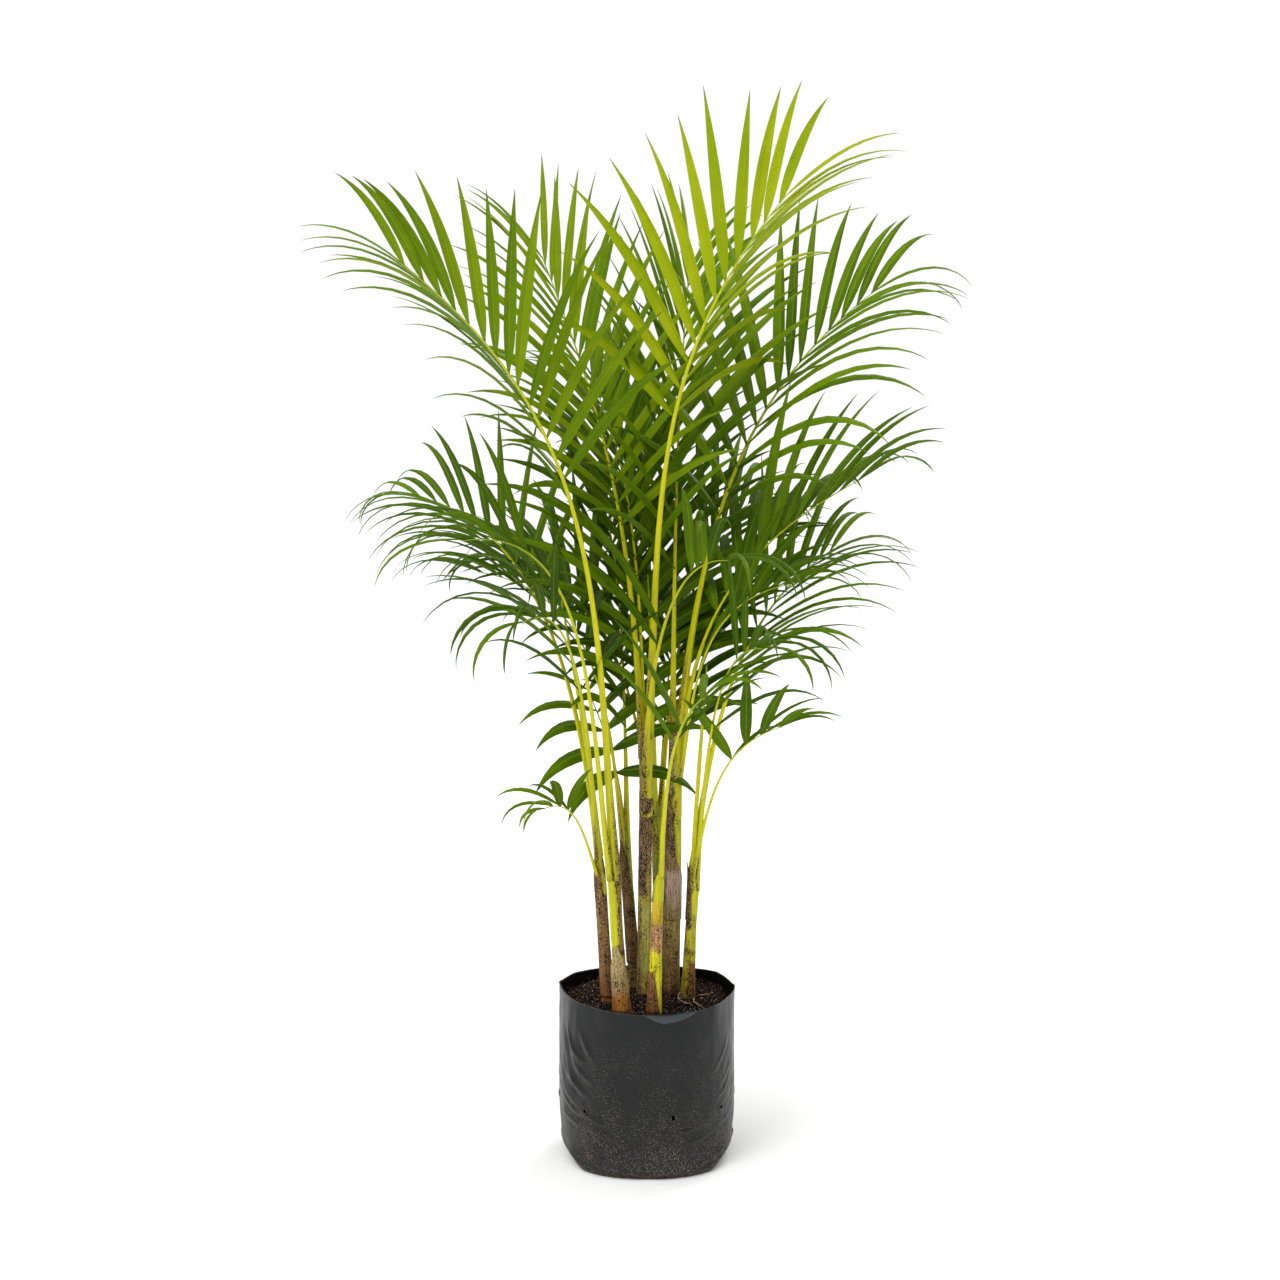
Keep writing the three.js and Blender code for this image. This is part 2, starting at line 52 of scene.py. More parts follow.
BAG_RADIUS = 113  # a tube 356 mm wide laid flat
BAG_HEIGHT = 220
FOOT_HALF = 109.5
FOOT_POWER = 2.3  # the foot is a slightly squared circle
SQUARE_UP_TO = 75
FILM = 0.6
MIX_EDGE = 205  # height of the mix at the film
MIX_CROWN = 8
BURIED = 30

# foot x, y; crown x, y; height of the crown over the mix's edge; radius at the mix, half-way and at the crown
CANES = {
    1: ((-50, -26), (-61, -26), 200, (8.3, 7.2, 6.6)),
    2: ((-32, -70), (-43, -62), 187, (10.5, 8.0, 7.2)),
    3: ((-15, 34), (-30, 50), 215, (8.5, 7.5, 6.0)),
    4: ((-4, 5), (-1, 0), 355, (9.0, 8.8, 7.5)),
    5: ((9, -78), (14, -70), 181, (9.0, 7.8, 6.6)),
    6: ((31, 8), (37, 20), 355, (11.0, 10.2, 8.0)),
    7: ((52, -16), (60, -28), 187, (9.5, 7.2, 6.4)),
    8: ((18, 74), (12, 96), 245, (9.0, 7.5, 6.5)),
}

FROND_COLUMNS = (
    "name", "cane", "below", "side", "off", "turn", "reach", "rise", "leaves", "nods", "roll", "bare",
    "pairs", "long", "wide", "droop", "thick", "open", "tone",
)
# below: how far under its cane's crown a stalk starts. side, off: where in the cane. turn: the way it leans,
# degrees from +X. reach, rise: to its tip. leaves, nods: its slope at start and tip. roll: turn of the two
# rows about it. bare: share with no leaflets. pairs, long, wide, droop: its leaflets. thick: its radius.
# open: more angle between leaflet and stalk. The last column runs from 0, a dark old leaf, to 1, a young
# yellow-green one, and also holds painted light: fronds high up and against the light get lighter greens, and
# low and back fronds get darker ones as painted shade.
FRONDS = [dict(zip(FROND_COLUMNS, row)) for row in (
    ("frond_top_right", 4, 15, 40, 3, -43, 222, 680, 86, 42, -30, 0.56, 11, 262, 20.5, 1.0, 5.0, 0, 0.74),
    ("frond_top_left", 2, 12, 36, 3.5, 216, 300, 765, 85, 34, 30, 0.55, 15, 245, 17.5, 1.15, 5.2, 0, 0.5),
    ("frond_top_middle", 4, 40, 150, 4, 128, 214, 632, 85, 56, -28, 0.44, 17, 245, 17.5, 1.0, 4.4, 0, 0.55),
    ("frond_high_right", 6, 15, 0, 3, 40, 345, 562, 82, 28, 32, 0.4, 14, 262, 19, 1.35, 5.0, 0, 0.42),
    ("frond_mid_right", 6, 40, 350, 5, 14, 240, 350, 85, 26, -25, 0.42, 12, 235, 17, 1.3, 4.0, 0, 0.4),
    ("frond_right", 7, 10, 110, 3, 48, 282, 385, 80, 18, 30, 0.46, 11, 225, 12.5, 1.4, 4.2, 0, 0.38),
    ("frond_low_right", 7, 23, 240, 4.5, -40, 140, 215, 76, 20, -20, 0.66, 4, 130, 17, 0.9, 2.6, 0, 0.36),
    ("frond_low_front", 5, 6, 20, 3.5, -71, 148, 255, 84, 24, -10, 0.62, 5, 180, 17, 1.2, 3.0, 0, 0.3),
    ("frond_left", 1, 10, 110, 3.5, 136, 345, 440, 82, 4, -28, 0.48, 11, 205, 12.5, 1.4, 3.8, 0, 0.3),
    ("frond_front_left", 2, 14, 225, 4.5, 225, 240, 448, 80, -2, 28, 0.5, 11, 225, 12.5, 1.4, 3.8, 0, 0.3),
    ("frond_low_left", 1, 25, 250, 4, 248, 230, 350, 80, -8, 20, 0.48, 8, 215, 14, 1.5, 3.4, 0, 0.26),
    ("frond_young_left", 3, 10, 106, 3, 140, 62, 185, 86, 60, -35, 0.4, 5, 170, 21, 0.8, 3.0, 38, 0.3),
    ("frond_small_left", 1, 37, 230, 3, 225, 96, 108, 66, -10, 10, 0.7, 4, 95, 13, 1.6, 2.2, 0, 0.4),
    ("frond_back_middle", 3, 35, 60, 4, 102, 225, 470, 85, 16, 15, 0.26, 19, 245, 19, 1.2, 3.8, 0, 0.3),
    ("frond_front_right", 4, 60, 260, 6, 295, 235, 300, 86, 2, -15, 0.4, 15, 225, 17, 1.35, 3.8, 0, 0.28),
    ("frond_high_back", 4, 80, 90, 6, 108, 225, 505, 85, 30, -20, 0.2, 19, 245, 19, 1.2, 4.0, 0, 0.36),
    ("frond_mid_low_right", 6, 90, 330, 4, -25, 150, 280, 80, 14, -25, 0.42, 12, 200, 16, 1.4, 3.2, 0, 0.3),
    ("frond_back", 8, 20, 180, 4, 95, 240, 520, 84, 26, 10, 0.26, 19, 245, 19, 1.1, 4.0, 0, 0.28),
    ("frond_back_right", 8, 30, 20, 4.5, 62, 270, 395, 82, 12, 30, 0.38, 11, 225, 16, 1.3, 3.4, 0, 0.28),
    ("frond_back_left", 8, 40, 220, 4, 140, 250, 335, 80, 4, -25, 0.38, 11, 220, 16, 1.4, 3.4, 0, 0.22),
    ("frond_side_left", 3, 25, 220, 3, 170, 190, 355, 84, 8, 0, 0.48, 9, 215, 13, 1.4, 3.2, 0, 0.24),
    ("frond_top_back", 6, 60, 120, 6.5, 84, 235, 640, 86, 44, 20, 0.34, 17, 265, 18, 1.0, 4.0, 0, 0.44),
    ("frond_side_right", 7, 37, 350, 4.5, -72, 230, 345, 80, 6, -20, 0.46, 9, 215, 13, 1.4, 3.0, 0, 0.26),
    ("frond_low_back", 8, 55, 300, 4, 78, 215, 290, 78, 0, 15, 0.3, 15, 205, 18, 1.4, 3.0, 0, 0.24),
)]

SPEAR_COLUMNS = ("name", "cane", "side", "turn", "reach", "rise", "leaves", "nods", "thick")
SPEARS = [dict(zip(SPEAR_COLUMNS, row)) for row in (
    ("spear_left", 1, 320, 190, 48, 325, 84, 80, 3.0),
    ("spear_right", 7, 200, 60, 35, 250, 84, 82, 2.6),
    ("spear_back", 8, 250, 250, 30, 300, 86, 83, 2.8),
)]

BASE_ANGLE = 58  # degrees between leaflet and stalk at the first pair
TIP_ANGLE = 21  # the same at the last pair
LIFT = 42  # degrees that the two rows fold up into a V
SHORTEST = 0.6
FACES_UP = 0.8
PULL = 0.42  # how long a stalk's handles are, as a share of its span


# ------------------------------------------------------------------ helpers

def linear(colour):
    """An sRGB hex colour as linear RGBA."""
    parts = [int(colour[i:i + 2], 16) / 255 for i in (1, 3, 5)]
    return tuple(c / 12.92 if c <= 0.04045 else ((c + 0.055) / 1.055) ** 2.4 for c in parts) + (1.0,)


def add_node(tree, kind, inputs=None, stops=None, **settings):
    """A node with its settings. An input takes a value, or a link where it is another node's output."""
    made = tree.nodes.new(kind)
    for name, value in settings.items():
        setattr(made, name, value)
    for key, value in (inputs or {}).items():
        if isinstance(value, bpy.types.NodeSocket):
            tree.links.new(value, made.inputs[key])
        else:
            made.inputs[key].default_value = value
    for i, (place, colour) in enumerate(stops or ()):
        ramp = made.color_ramp.elements
        stop = ramp[i] if i < len(ramp) else ramp.new(place)
        stop.position = place
        stop.color = linear(colour)
    return made


class Nodes:
    """Short calls for the nodes that come up often. Each gives the output to use."""

    def __init__(self, tree):
        self.tree = tree

    def add(self, kind, inputs=None, **settings):
        return add_node(self.tree, kind, inputs, **settings).outputs

    def spot(self):
        """The place on the object, in metres."""
        return self.add("ShaderNodeTexCoord")["Object"]

    def stored(self, name, output="Fac"):
        """A value that the mesh holds, in a material."""
        return self.add("ShaderNodeAttribute", attribute_name=name)[output]

    def read(self, name, kind="FLOAT_VECTOR"):
        """A value that the mesh holds, in a geometry tree."""
        return self.add("GeometryNodeInputNamedAttribute", {"Name": name}, data_type=kind)["Attribute"]

    def split(self, vector):
        return self.add("ShaderNodeSeparateXYZ", {0: vector})

    def maths(self, operation, *values):
        return self.add("ShaderNodeMath", dict(enumerate(values)), operation=operation)[0]

    def vectors(self, operation, *values):
        return self.add("ShaderNodeVectorMath", dict(enumerate(values)), operation=operation)[0]

    def scaled(self, vector, factor):
        return self.add("ShaderNodeVectorMath", {0: vector, "Scale": factor}, operation="SCALE")[0]

    def between(self, value, low, high, start=0.0, end=1.0):
        """Runs from start to end while a value runs from low to high, and stays there outside."""
        return self.add("ShaderNodeMapRange", {"Value": value, "From Min": low, "From Max": high,
                                               "To Min": start, "To Max": end})[0]

    def blend(self, share, first, colour):
        """A colour that turns into another by a share."""
        return self.add("ShaderNodeMix", {0: share, 6: first, 7: linear(colour)}, data_type="RGBA")[2]

    def ramp(self, value, *stops):
        return self.add("ShaderNodeValToRGB", {0: value}, stops=stops)[0]

    def noise(self, spot, scale, detail, **more):
        inputs = {"Vector": spot, "Scale": scale, "Detail": detail, **more}
        return self.add("ShaderNodeTexNoise", inputs)["Fac"]

    def drawn_out(self, spot, height):
        """Squeezes a pattern's heights, so that it is drawn out along Z."""
        return self.add("ShaderNodeMapping", {"Vector": spot, "Scale": (1.0, 1.0, height)})[0]

    def bump(self, height, strength, distance):
        return self.add("ShaderNodeBump", {"Height": height, "Strength": strength, "Distance": distance})[0]

    def join(self, output, ground, added, material):
        """Ends a geometry tree: what was added gets its material and becomes one with the ground."""
        painted = self.add("GeometryNodeSetMaterial", {"Geometry": added, "Material": material})[0]
        joined = self.add("GeometryNodeJoinGeometry", {"Geometry": ground})[0]
        self.tree.links.new(painted, joined.node.inputs[0])
        whole = self.add("GeometryNodeRealizeInstances", {"Geometry": joined})[0]
        self.add("NodeGroupOutput", {output: whole})

    def into(self, shader, **links):
        """Links outputs to a shader's inputs."""
        for name, output in links.items():
            self.tree.links.new(output, shader.inputs[name.replace("_", " ")])


def new_material(name, **values):
    """A material with a Principled shader, whose uniform values sit on its own sockets."""
    material = bpy.data.materials.new(name)
    material.use_nodes = True
    shader = material.node_tree.nodes["Principled BSDF"]
    for key, value in values.items():
        shader.inputs[key.replace("_", " ")].default_value = value
    return material, Nodes(material.node_tree), shader


def mesh_object(name, points, faces, material, smooth=True):
    """A mesh object at the origin from points in metres."""
    mesh = bpy.data.meshes.new(name)
    mesh.from_pydata([tuple(p) for p in points], [], faces)
    mesh.materials.append(material)
    if smooth:
        mesh.polygons.foreach_set("use_smooth", [True] * len(mesh.polygons))
    made = bpy.data.objects.new(name, mesh)
    bpy.context.scene.collection.objects.link(made)
    return made


def point_values(piece, kind="FLOAT", **layers):
    """Stores values for each point of a piece's mesh, one layer for each name."""
    field = {"FLOAT": "value", "FLOAT_VECTOR": "vector", "FLOAT_COLOR": "color"}[kind]
    for name, values in layers.items():
        layer = piece.data.attributes.new(name, kind, "POINT")
        layer.data.foreach_set(field, np.asarray(values, dtype=np.float32).ravel())


def rings_to_mesh(rings):
    """Points and faces of a closed body through rings of points. A ring of one point is a pointed end."""
    points = [p for ring in rings for p in ring]
    starts = np.cumsum([0] + [len(ring) for ring in rings])
    faces = []
    for row in range(len(rings) - 1):
        low, high = len(rings[row]), len(rings[row + 1])
        for i in range(max(low, high)):
            a = starts[row] + (i % low if low > 1 else 0)
            b = starts[row] + ((i + 1) % low if low > 1 else 0)
            c = starts[row + 1] + ((i + 1) % high if high > 1 else 0)
            d = starts[row + 1] + (i % high if high > 1 else 0)
            faces.append(tuple(int(k) for k in dict.fromkeys((a, b, c, d))))
    if len(rings[0]) > 1:
        faces.append(tuple(range(len(rings[0]) - 1, -1, -1)))
    if len(rings[-1]) > 1:
        last = int(starts[-2])
        faces.append(tuple(range(last, last + len(rings[-1]))))
    return points, faces


def round_angles(count):
    """Angles of a ring's points, in radians."""
    return [2 * math.pi * k / count for k in range(count)]


def ring_body(name, rings, material, smooth=True):
    """A piece through rings of points in metres."""
    points, faces = rings_to_mesh(rings)
    return mesh_object(name, points, faces, material, smooth)


def heading(turn, slope=0.0):
    """A direction from its turn about Z and its slope above the horizontal, in degrees."""
    flat = math.cos(math.radians(slope))
    return Vector((
        flat * math.cos(math.radians(turn)),
        flat * math.sin(math.radians(turn)),
        math.sin(math.radians(slope)),
    ))


def mix(a, b, share):
    return a + (b - a) * share


def through(stops, at):
    """The value at one place of a line through (place, value) stops."""
    return float(np.interp(at, [s[0] for s in stops], [s[1] for s in stops]))


def angle_apart(a, b):
    """Degrees between two facings."""
    return abs((a - b + 180) % 360 - 180)


def mix_height(x, y):
    """Height of the mix's surface, in millimetres."""
    return MIX_EDGE + MIX_CROWN * max(0.0, 1 - (x * x + y * y) / BAG_RADIUS ** 2)


def cane_centre(number, z):
    """The axis of a cane at a height, in millimetres."""
    foot, crown, tall, _ = CANES[number]
    low = Vector((*foot, mix_height(*foot)))
    top = Vector((*crown, MIX_EDGE + tall))
    return low + (top - low) * ((z - low.z) / (top.z - low.z))


def cane_radius(number, z):
    foot, _, tall, radii = CANES[number]
    low = mix_height(*foot)
    share = max(0.0, (z - low) / (MIX_EDGE + tall - low))
    return through(((0, radii[0]), (0.45, radii[1]), (1, radii[2])), share)


def new_tree(name, inputs, output):
    """A geometry tree that takes named inputs and gives one geometry."""
    tree = bpy.data.node_groups.new(name, "GeometryNodeTree")
    for socket, kind in inputs.items():
        tree.interface.new_socket(socket, in_out="INPUT", socket_type="NodeSocket" + kind)
    tree.interface.new_socket(output, in_out="OUTPUT", socket_type="NodeSocketGeometry")
    return Nodes(tree)


def run_tree(holder, tree, inputs):
    """Runs a tree on an object and keeps the result as a plain mesh. Inputs are set by socket identifier."""
    modifier = holder.modifiers.new(tree.name, "NODES")
    modifier.node_group = tree
    sockets = {item.name: item.identifier for item in tree.interface.items_tree if item.in_out == "INPUT"}
    for name, value in inputs.items():
        modifier[sockets[name]] = value
    bpy.context.view_layer.update()
    graph = bpy.context.evaluated_depsgraph_get()
    made = bpy.data.meshes.new_from_object(holder.evaluated_get(graph), preserve_all_data_layers=True,
                                           depsgraph=graph)
    holder.modifiers.remove(modifier)
    old = holder.data
    holder.data = made
    made.name = holder.name
    bpy.data.meshes.remove(old)


def finish_piece(piece, slot_name, *nodes):
    """Puts a finished piece on the one body, in place of its CAD nodes."""
    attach(piece, "root")
    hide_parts(*nodes)


# ------------------------------------------------------------------ materials

def leaflet_material():
    """Living leaf blade: a satin waxy skin over green flesh that light shines through, ribbed lengthwise."""
    material, nodes, shader = new_material("Palm leaflet, living blade", Roughness=0.44, IOR=1.42,
                                           Specular_IOR_Level=0.14)
    across, along, _ = nodes.split(nodes.stored("blade", "Vector"))
    # blotches about 40 mm long, as one leaflet is never one green
    drift = nodes.maths("MULTIPLY_ADD", nodes.noise(nodes.spot(), 24.0, 3.0), 0.24, -0.12)
    # the frond's age-and-light value picks the green. It is partly leaf age and partly painted light: lighter
    # for fronds high up and against the light, darker as painted shade for low and back fronds
    green = nodes.ramp(nodes.maths("ADD", nodes.stored("tone"), drift), (0.0, "#2A4804"), (0.25, "#486A05"),
                       (0.5, "#739408"), (0.75, "#A0B20C"), (1.0, "#C6CC20"))
    # ribs: about nine to a blade, 2 mm apart
    ribs = nodes.maths("SINE", nodes.maths("MULTIPLY", across, 28.0))
    midrib = nodes.between(nodes.maths("ABSOLUTE", across), 0.03, 0.12, 1.0, 0.0)
    striped = nodes.scaled(green, nodes.between(ribs, -1.0, 1.0, 0.9, 1.06))
    lined = nodes.blend(nodes.maths("MULTIPLY", midrib, 0.45), striped, "#A9BC22")
    # drawn-out tips go straw-coloured on the last few millimetres
    tipped = nodes.blend(nodes.between(along, 0.93, 1.0, 0.0, 0.6), lined, "#8A7A34")
    bump = nodes.bump(ribs, 0.25, 0.0004)
    nodes.into(shader, Base_Color=tipped, Normal=bump)
    glow = nodes.add("ShaderNodeHueSaturation", {"Hue": 0.49, "Saturation": 1.08, "Value": 1.5,
                                                 "Color": tipped})
    behind = nodes.add("ShaderNodeBsdfTranslucent", {"Color": glow[0], "Normal": bump})
    both = nodes.add("ShaderNodeMixShader", {0: 0.36, 1: shader.outputs[0], 2: behind[0]})
    nodes.into(nodes.tree.nodes["Material Output"], Surface=both[0])
    return material


def scurf_specks(nodes, spot, amount):
    """Brown scurf: flakes about 1.5 mm across, drawn out lengthwise, and more of them with a larger amount.

    Gives how far they cover each place, and the grain that they rise from.
    """
    stretch = nodes.drawn_out(spot, 0.45)
    grain = nodes.maths("MULTIPLY_ADD", nodes.noise(stretch, 120.0, 2.0), 0.35,
                        nodes.noise(stretch, 900.0, 2.0, Roughness=0.6))
    over = nodes.maths("SUBTRACT", grain, nodes.between(amount, 0.0, 1.0, 0.9, 0.645))
    return nodes.between(over, 0.0, 0.04), grain


def fibre_shade(nodes, spot, dark, light):
    """Fibres that run up a stem: a factor on its colour that changes every 2 mm round it."""
    return nodes.between(nodes.noise(nodes.drawn_out(spot, 0.05), 480.0, 2.0), 0.3, 0.7, dark, light)


def stalk_material():
    """Living leaf stalk: smooth waxy yellow rind, greener at its tip, with faint fibres and a scurfy base."""
    material, nodes, shader = new_material("Palm stalk, waxy rind", Roughness=0.42, IOR=1.45,
                                           Specular_IOR_Level=0.25)
    along, scurf, spot = nodes.stored("along"), nodes.stored("scurf"), nodes.spot()
    # the same age-and-light value blends a young yellow ramp and an old greener one, so a stalk's colour is
    # partly leaf age and partly painted light and shade
    young = nodes.ramp(along, (0.0, "#BDBC0C"), (0.08, "#C9C70E"), (0.35, "#DAD216"), (0.7, "#C8CA1C"),
                       (1.0, "#A4B81E"))
    old = nodes.ramp(along, (0.0, "#ADAC0C"), (0.3, "#B6B610"), (0.6, "#9DAE12"), (1.0, "#769614"))
    tinted = nodes.add("ShaderNodeMix", {0: nodes.stored("tone"), 6: old, 7: young}, data_type="RGBA")[2]
    streaked = nodes.scaled(tinted, fibre_shade(nodes, spot, 0.84, 1.06))
    # the leaf base dries to tan under its brown flakes
    cover, grain = scurf_specks(nodes, spot, scurf)
    tan = nodes.blend(nodes.maths("MULTIPLY", scurf, 0.75), streaked, "#8C6C38")
    nodes.into(shader, Base_Color=nodes.blend(cover, tan, "#21140A"), Normal=nodes.bump(grain, 0.15, 0.0004))
    return material


def cane_material():
    """Cane: a smooth green-yellow rind with fibres, under brown scurf that flakes into dark specks."""
    material, nodes, shader = new_material("Palm cane, rind with scurf", IOR=1.45, Specular_IOR_Level=0.25)
    scurf, spot = nodes.stored("scurf"), nodes.spot()
    cover, grain = scurf_specks(nodes, spot, scurf)
    drawn = nodes.scaled(nodes.stored("skin", "Color"), fibre_shade(nodes, spot, 0.66, 1.24))
    mottled = nodes.scaled(drawn, nodes.between(grain, 0.5, 0.85, 1.18, 0.8))
    nodes.into(shader, Base_Color=nodes.blend(cover, mottled, "#150C06"),
               Roughness=nodes.between(scurf, 0.0, 1.0, 0.42, 0.82), Normal=nodes.bump(grain, 0.4, 0.0006))
    return material


def film_material():
    """Black polythene film, blown and folded: dull gloss, fine rumples, dust and dried mix near the foot, and
    a painted sheen on the turned-over lip.
    """
    material, nodes, shader = new_material("Black polythene film, blown", IOR=1.51, Specular_IOR_Level=0.28)
    spot = nodes.spot()
    height = nodes.split(spot)[2]
    cloud = nodes.noise(spot, 26.0, 5.0)
    # dust grains about half a millimetre across, 2 mm apart, and more of them near the foot
    grains = nodes.add("ShaderNodeTexVoronoi", {"Vector": spot, "Scale": 600.0})["Distance"]
    dot = nodes.maths("SUBTRACT", nodes.between(height, 0.2, 0.0, 0.1, 0.27), grains)
    grainy = nodes.maths("MULTIPLY", nodes.between(dot, 0.0, 0.04), nodes.between(cloud, 0.3, 0.6))
    tint = nodes.ramp(cloud, (0.35, "#090A0B"), (0.6, "#0F1011"), (0.75, "#171818"))
    haze = nodes.maths("MULTIPLY", nodes.between(height, 0.09, 0.0, 0.0, 0.5), cloud)
    dusty = nodes.blend(grainy, nodes.blend(haze, tint, "#3E3B36"), "#A39C8C")
    clods = nodes.noise(spot, 420.0, 3.0)
    patch = nodes.maths("MULTIPLY_ADD", nodes.stored("stain"), clods, -0.31)
    dirty = nodes.blend(nodes.between(patch, 0.0, 0.06, 0.0, 0.85), dusty, "#54422F")
    dark = nodes.blend(nodes.stored("inside"), dirty, "#0B0B0B")
    # the turned-over lip gets a painted sheen: a lighter bluish grey that stands in for the light its shiny
    # fold reflects
    lip_sheen = nodes.blend(nodes.stored("lip"), dark, "#3A3E42")
    rumple = nodes.noise(nodes.drawn_out(spot, 0.35), 90.0, 4.0)
    nodes.into(shader, Base_Color=lip_sheen, Roughness=nodes.between(haze, 0.0, 0.3, 0.33, 0.6),
               Normal=nodes.bump(rumple, 0.3, 0.001))
    return material


def speckled_material(name, dark, light, scale, **values):
    """A rough natural crumb or fibre, whose colour wanders between two browns."""
    material, nodes, shader = new_material(name, **values)
    cloud = nodes.noise(nodes.spot(), scale, 4.0)
    nodes.into(shader, Base_Color=nodes.ramp(cloud, (0.35, dark), (0.68, light)),
               Normal=nodes.bump(cloud, 0.6, 0.0008))
    return material


LEAFLET = leaflet_material()
STALK = stalk_material()
CANE = cane_material()
FILM_SKIN = film_material()
# shredded coconut husk: crumbs of pith, loose fibres, and pale flecks of husk
COIR = speckled_material("Coconut husk mix, damp pith", "#020101", "#0E0704", 260.0, Roughness=0.95,
                          Specular_IOR_Level=0.1)
COIR_FIBRE = speckled_material("Coconut husk mix, fibre", "#160D07", "#5E3E26", 300.0, Roughness=0.85,
                                Specular_IOR_Level=0.25)
COIR_FLECK = speckled_material("Coconut husk mix, pale fleck", "#8E7458", "#D9CDB8", 300.0, Roughness=0.8)
FINE_ROOT = speckled_material("Palm root, fine and pale", "#A8745C", "#D6AE98", 240.0, Roughness=0.7)


# ------------------------------------------------------------------ leaf stalks

class StalkPath:
    """A stalk's axis: it bends in one upright plane, from its slope at the cane to its slope at the tip."""

    def __init__(self, leaf):
        foot, crown, tall, _ = CANES[leaf["cane"]]
        low = Vector((*foot, mix_height(*foot)))
        top = Vector((*crown, MIX_EDGE + tall))
        height = top.z - low.z
        start = low.lerp(top, (height - leaf["below"]) / height) + heading(leaf["side"]) * leaf["off"]
        end = start + heading(leaf["turn"]) * leaf["reach"] + UP * leaf["rise"]
        pull = (end - start).length * PULL
        self.points = (
            start,
            start + heading(leaf["turn"], leaf["leaves"]) * pull,
            end - heading(leaf["turn"], leaf["nods"]) * pull,
            end,
        )
        self.sideways = heading(leaf["turn"] + 90)

    def at(self, t):
        a, b, c, d = self.points
        return a * (1 - t) ** 3 + b * 3 * t * (1 - t) ** 2 + c * 3 * t * t * (1 - t) + d * t ** 3

    def along(self, t):
        a, b, c, d = self.points
        return ((b - a) * (1 - t) ** 2 + (c - b) * 2 * t * (1 - t) + (d - c) * t * t).normalized()


STALK_SIDES = 16
STALK_STEPS = 44
BASE_STEPS = 14
# how far down its cane a leaf base reaches, in millimetres, and the middle and span of its scurf, in degrees
LEAF_BASES = {
    "frond_top_left": (88, 335, 120), "frond_top_right": (60, 215, 150), "frond_high_right": (96, 205, 120),
    "frond_right": (60, 190, 110), "frond_left": (40, 330, 110), "frond_low_front": (30, 200, 60),
    "frond_small_left": (10, 200, 60), "frond_young_left": (24, 200, 140), "frond_top_middle": (34, 230, 140),
    "frond_front_left": (34, 335, 110),
}
LEAF_BASE = (34, 240, 100)
# how thick the scurf is along a stalk, from -1 at the foot of its base to 1 at its tip
BASE_SCURF = ((-1, 0.95), (0, 0.9), (0.09, 0.75), (0.15, 0.05), (1, 0))
SCURF_EDGE = 24  # degrees over which it thins out at its sides


def stalk_mesh(leaf, path, cells):
    """The stalk: round below, flat and channelled above, swollen where it leaves the cane."""
    rings = []
    shares = []
    # the leaf base: a tube round the cane that opens and narrows to the stalk
    start = path.at(0)
    wrap, flaky, flaky_span = LEAF_BASES.get(leaf["name"], LEAF_BASE)
    lean = heading(leaf["turn"])
    for i in range(BASE_STEPS):
        share = i / BASE_STEPS
        z = start.z - wrap * (1 - share)
        open_up = max(0.0, (share - 0.25) / 0.75) ** 1.5
        hug = cane_radius(leaf["cane"], z) + 0.5 + 0.4 * share
        if i == 0:
            hug -= 1.2
        centre = cane_centre(leaf["cane"], z).lerp(path.at(0), open_up)
        radius = mix(hug, leaf["thick"] * 1.5, open_up)
        slant = 1.5 * math.sin(math.pi * min(1.0, share * 1.05)) * radius
        ring = []
        for angle in round_angles(STALK_SIDES):
            out = path.sideways * math.cos(angle) - lean * math.sin(angle)
            ring.append((centre + out * radius + UP * (out.dot(lean) * slant)) * MM)
        rings.append(ring)
        shares.append(-1 + share)
    for i in range(STALK_STEPS + 1):
        t = i / STALK_STEPS
        bare = leaf["bare"]
        if t < bare:
            radius = mix(leaf["thick"] * 1.15, leaf["thick"] * 0.56, t / bare)
        else:
            radius = mix(leaf["thick"] * 0.56, 0.7, (t - bare) / (1 - bare))
        radius *= 1 + 0.3 * math.exp(-t / 0.07)
        centre = path.at(t)
        over = path.along(t).cross(path.sideways).normalized()
        ring = []
        for angle in round_angles(STALK_SIDES):
            across, up = math.cos(angle), math.sin(angle)
            if up > 0:
                up *= mix(1.0, 0.62 - 0.25 * (1 - abs(across)), min(1.0, t * 9))
            ring.append((centre + (path.sideways * across + over * up) * radius) * MM)
        rings.append(ring)
        shares.append(t)
    rings.append([path.at(1.0) * MM + path.along(1.0) * 2 * MM])
    made = ring_body(leaf["name"] + "_leaves", rings, STALK)
    along = [t for t in shares for _ in range(STALK_SIDES)] + [1.0]
    scurf = []
    for t in shares:
        level = through(BASE_SCURF, t)
        for angle in round_angles(STALK_SIDES):
            out = path.sideways * math.cos(angle) - lean * math.sin(angle)
            apart = angle_apart(math.degrees(math.atan2(out.y, out.x)), flaky)
            edge = (flaky_span / 2 - apart) / SCURF_EDGE + 0.5
            scurf.append(min(1.0, max(0.0, edge)) * level)
    mapped = [(t + 1) / 2 for t in along]
    # the stalk takes its frond's age-and-light value, raised a little, with the painted light and shade that
    # it holds
    point_values(made, along=along, scurf=scurf + [0.0], tone=[min(1.0, 0.35 + leaf["tone"])] * len(along))
    map_strip(made.data, mapped, [k / STALK_SIDES for _ in shares for k in range(STALK_SIDES)] + [0.5], cells)
    return made


def map_strip(mesh, along, around, cells):
    """Gives the stalk the last cell of the leaf's map, whose other cells are its leaflets'."""
    layer = mesh.uv_layers.new(name="OFBake")
    for face in mesh.polygons:
        places = [around[mesh.loops[k].vertex_index] for k in face.loop_indices]
        wraps = max(places) - min(places) > 0.5
        for k in face.loop_indices:
            vertex = mesh.loops[k].vertex_index
            turn = around[vertex] + (1 if wraps and around[vertex] < 0.5 else 0)
            layer.data[k].uv = ((cells - 1 + 0.05 + 0.88 * turn) / cells, 0.01 + 0.98 * along[vertex])


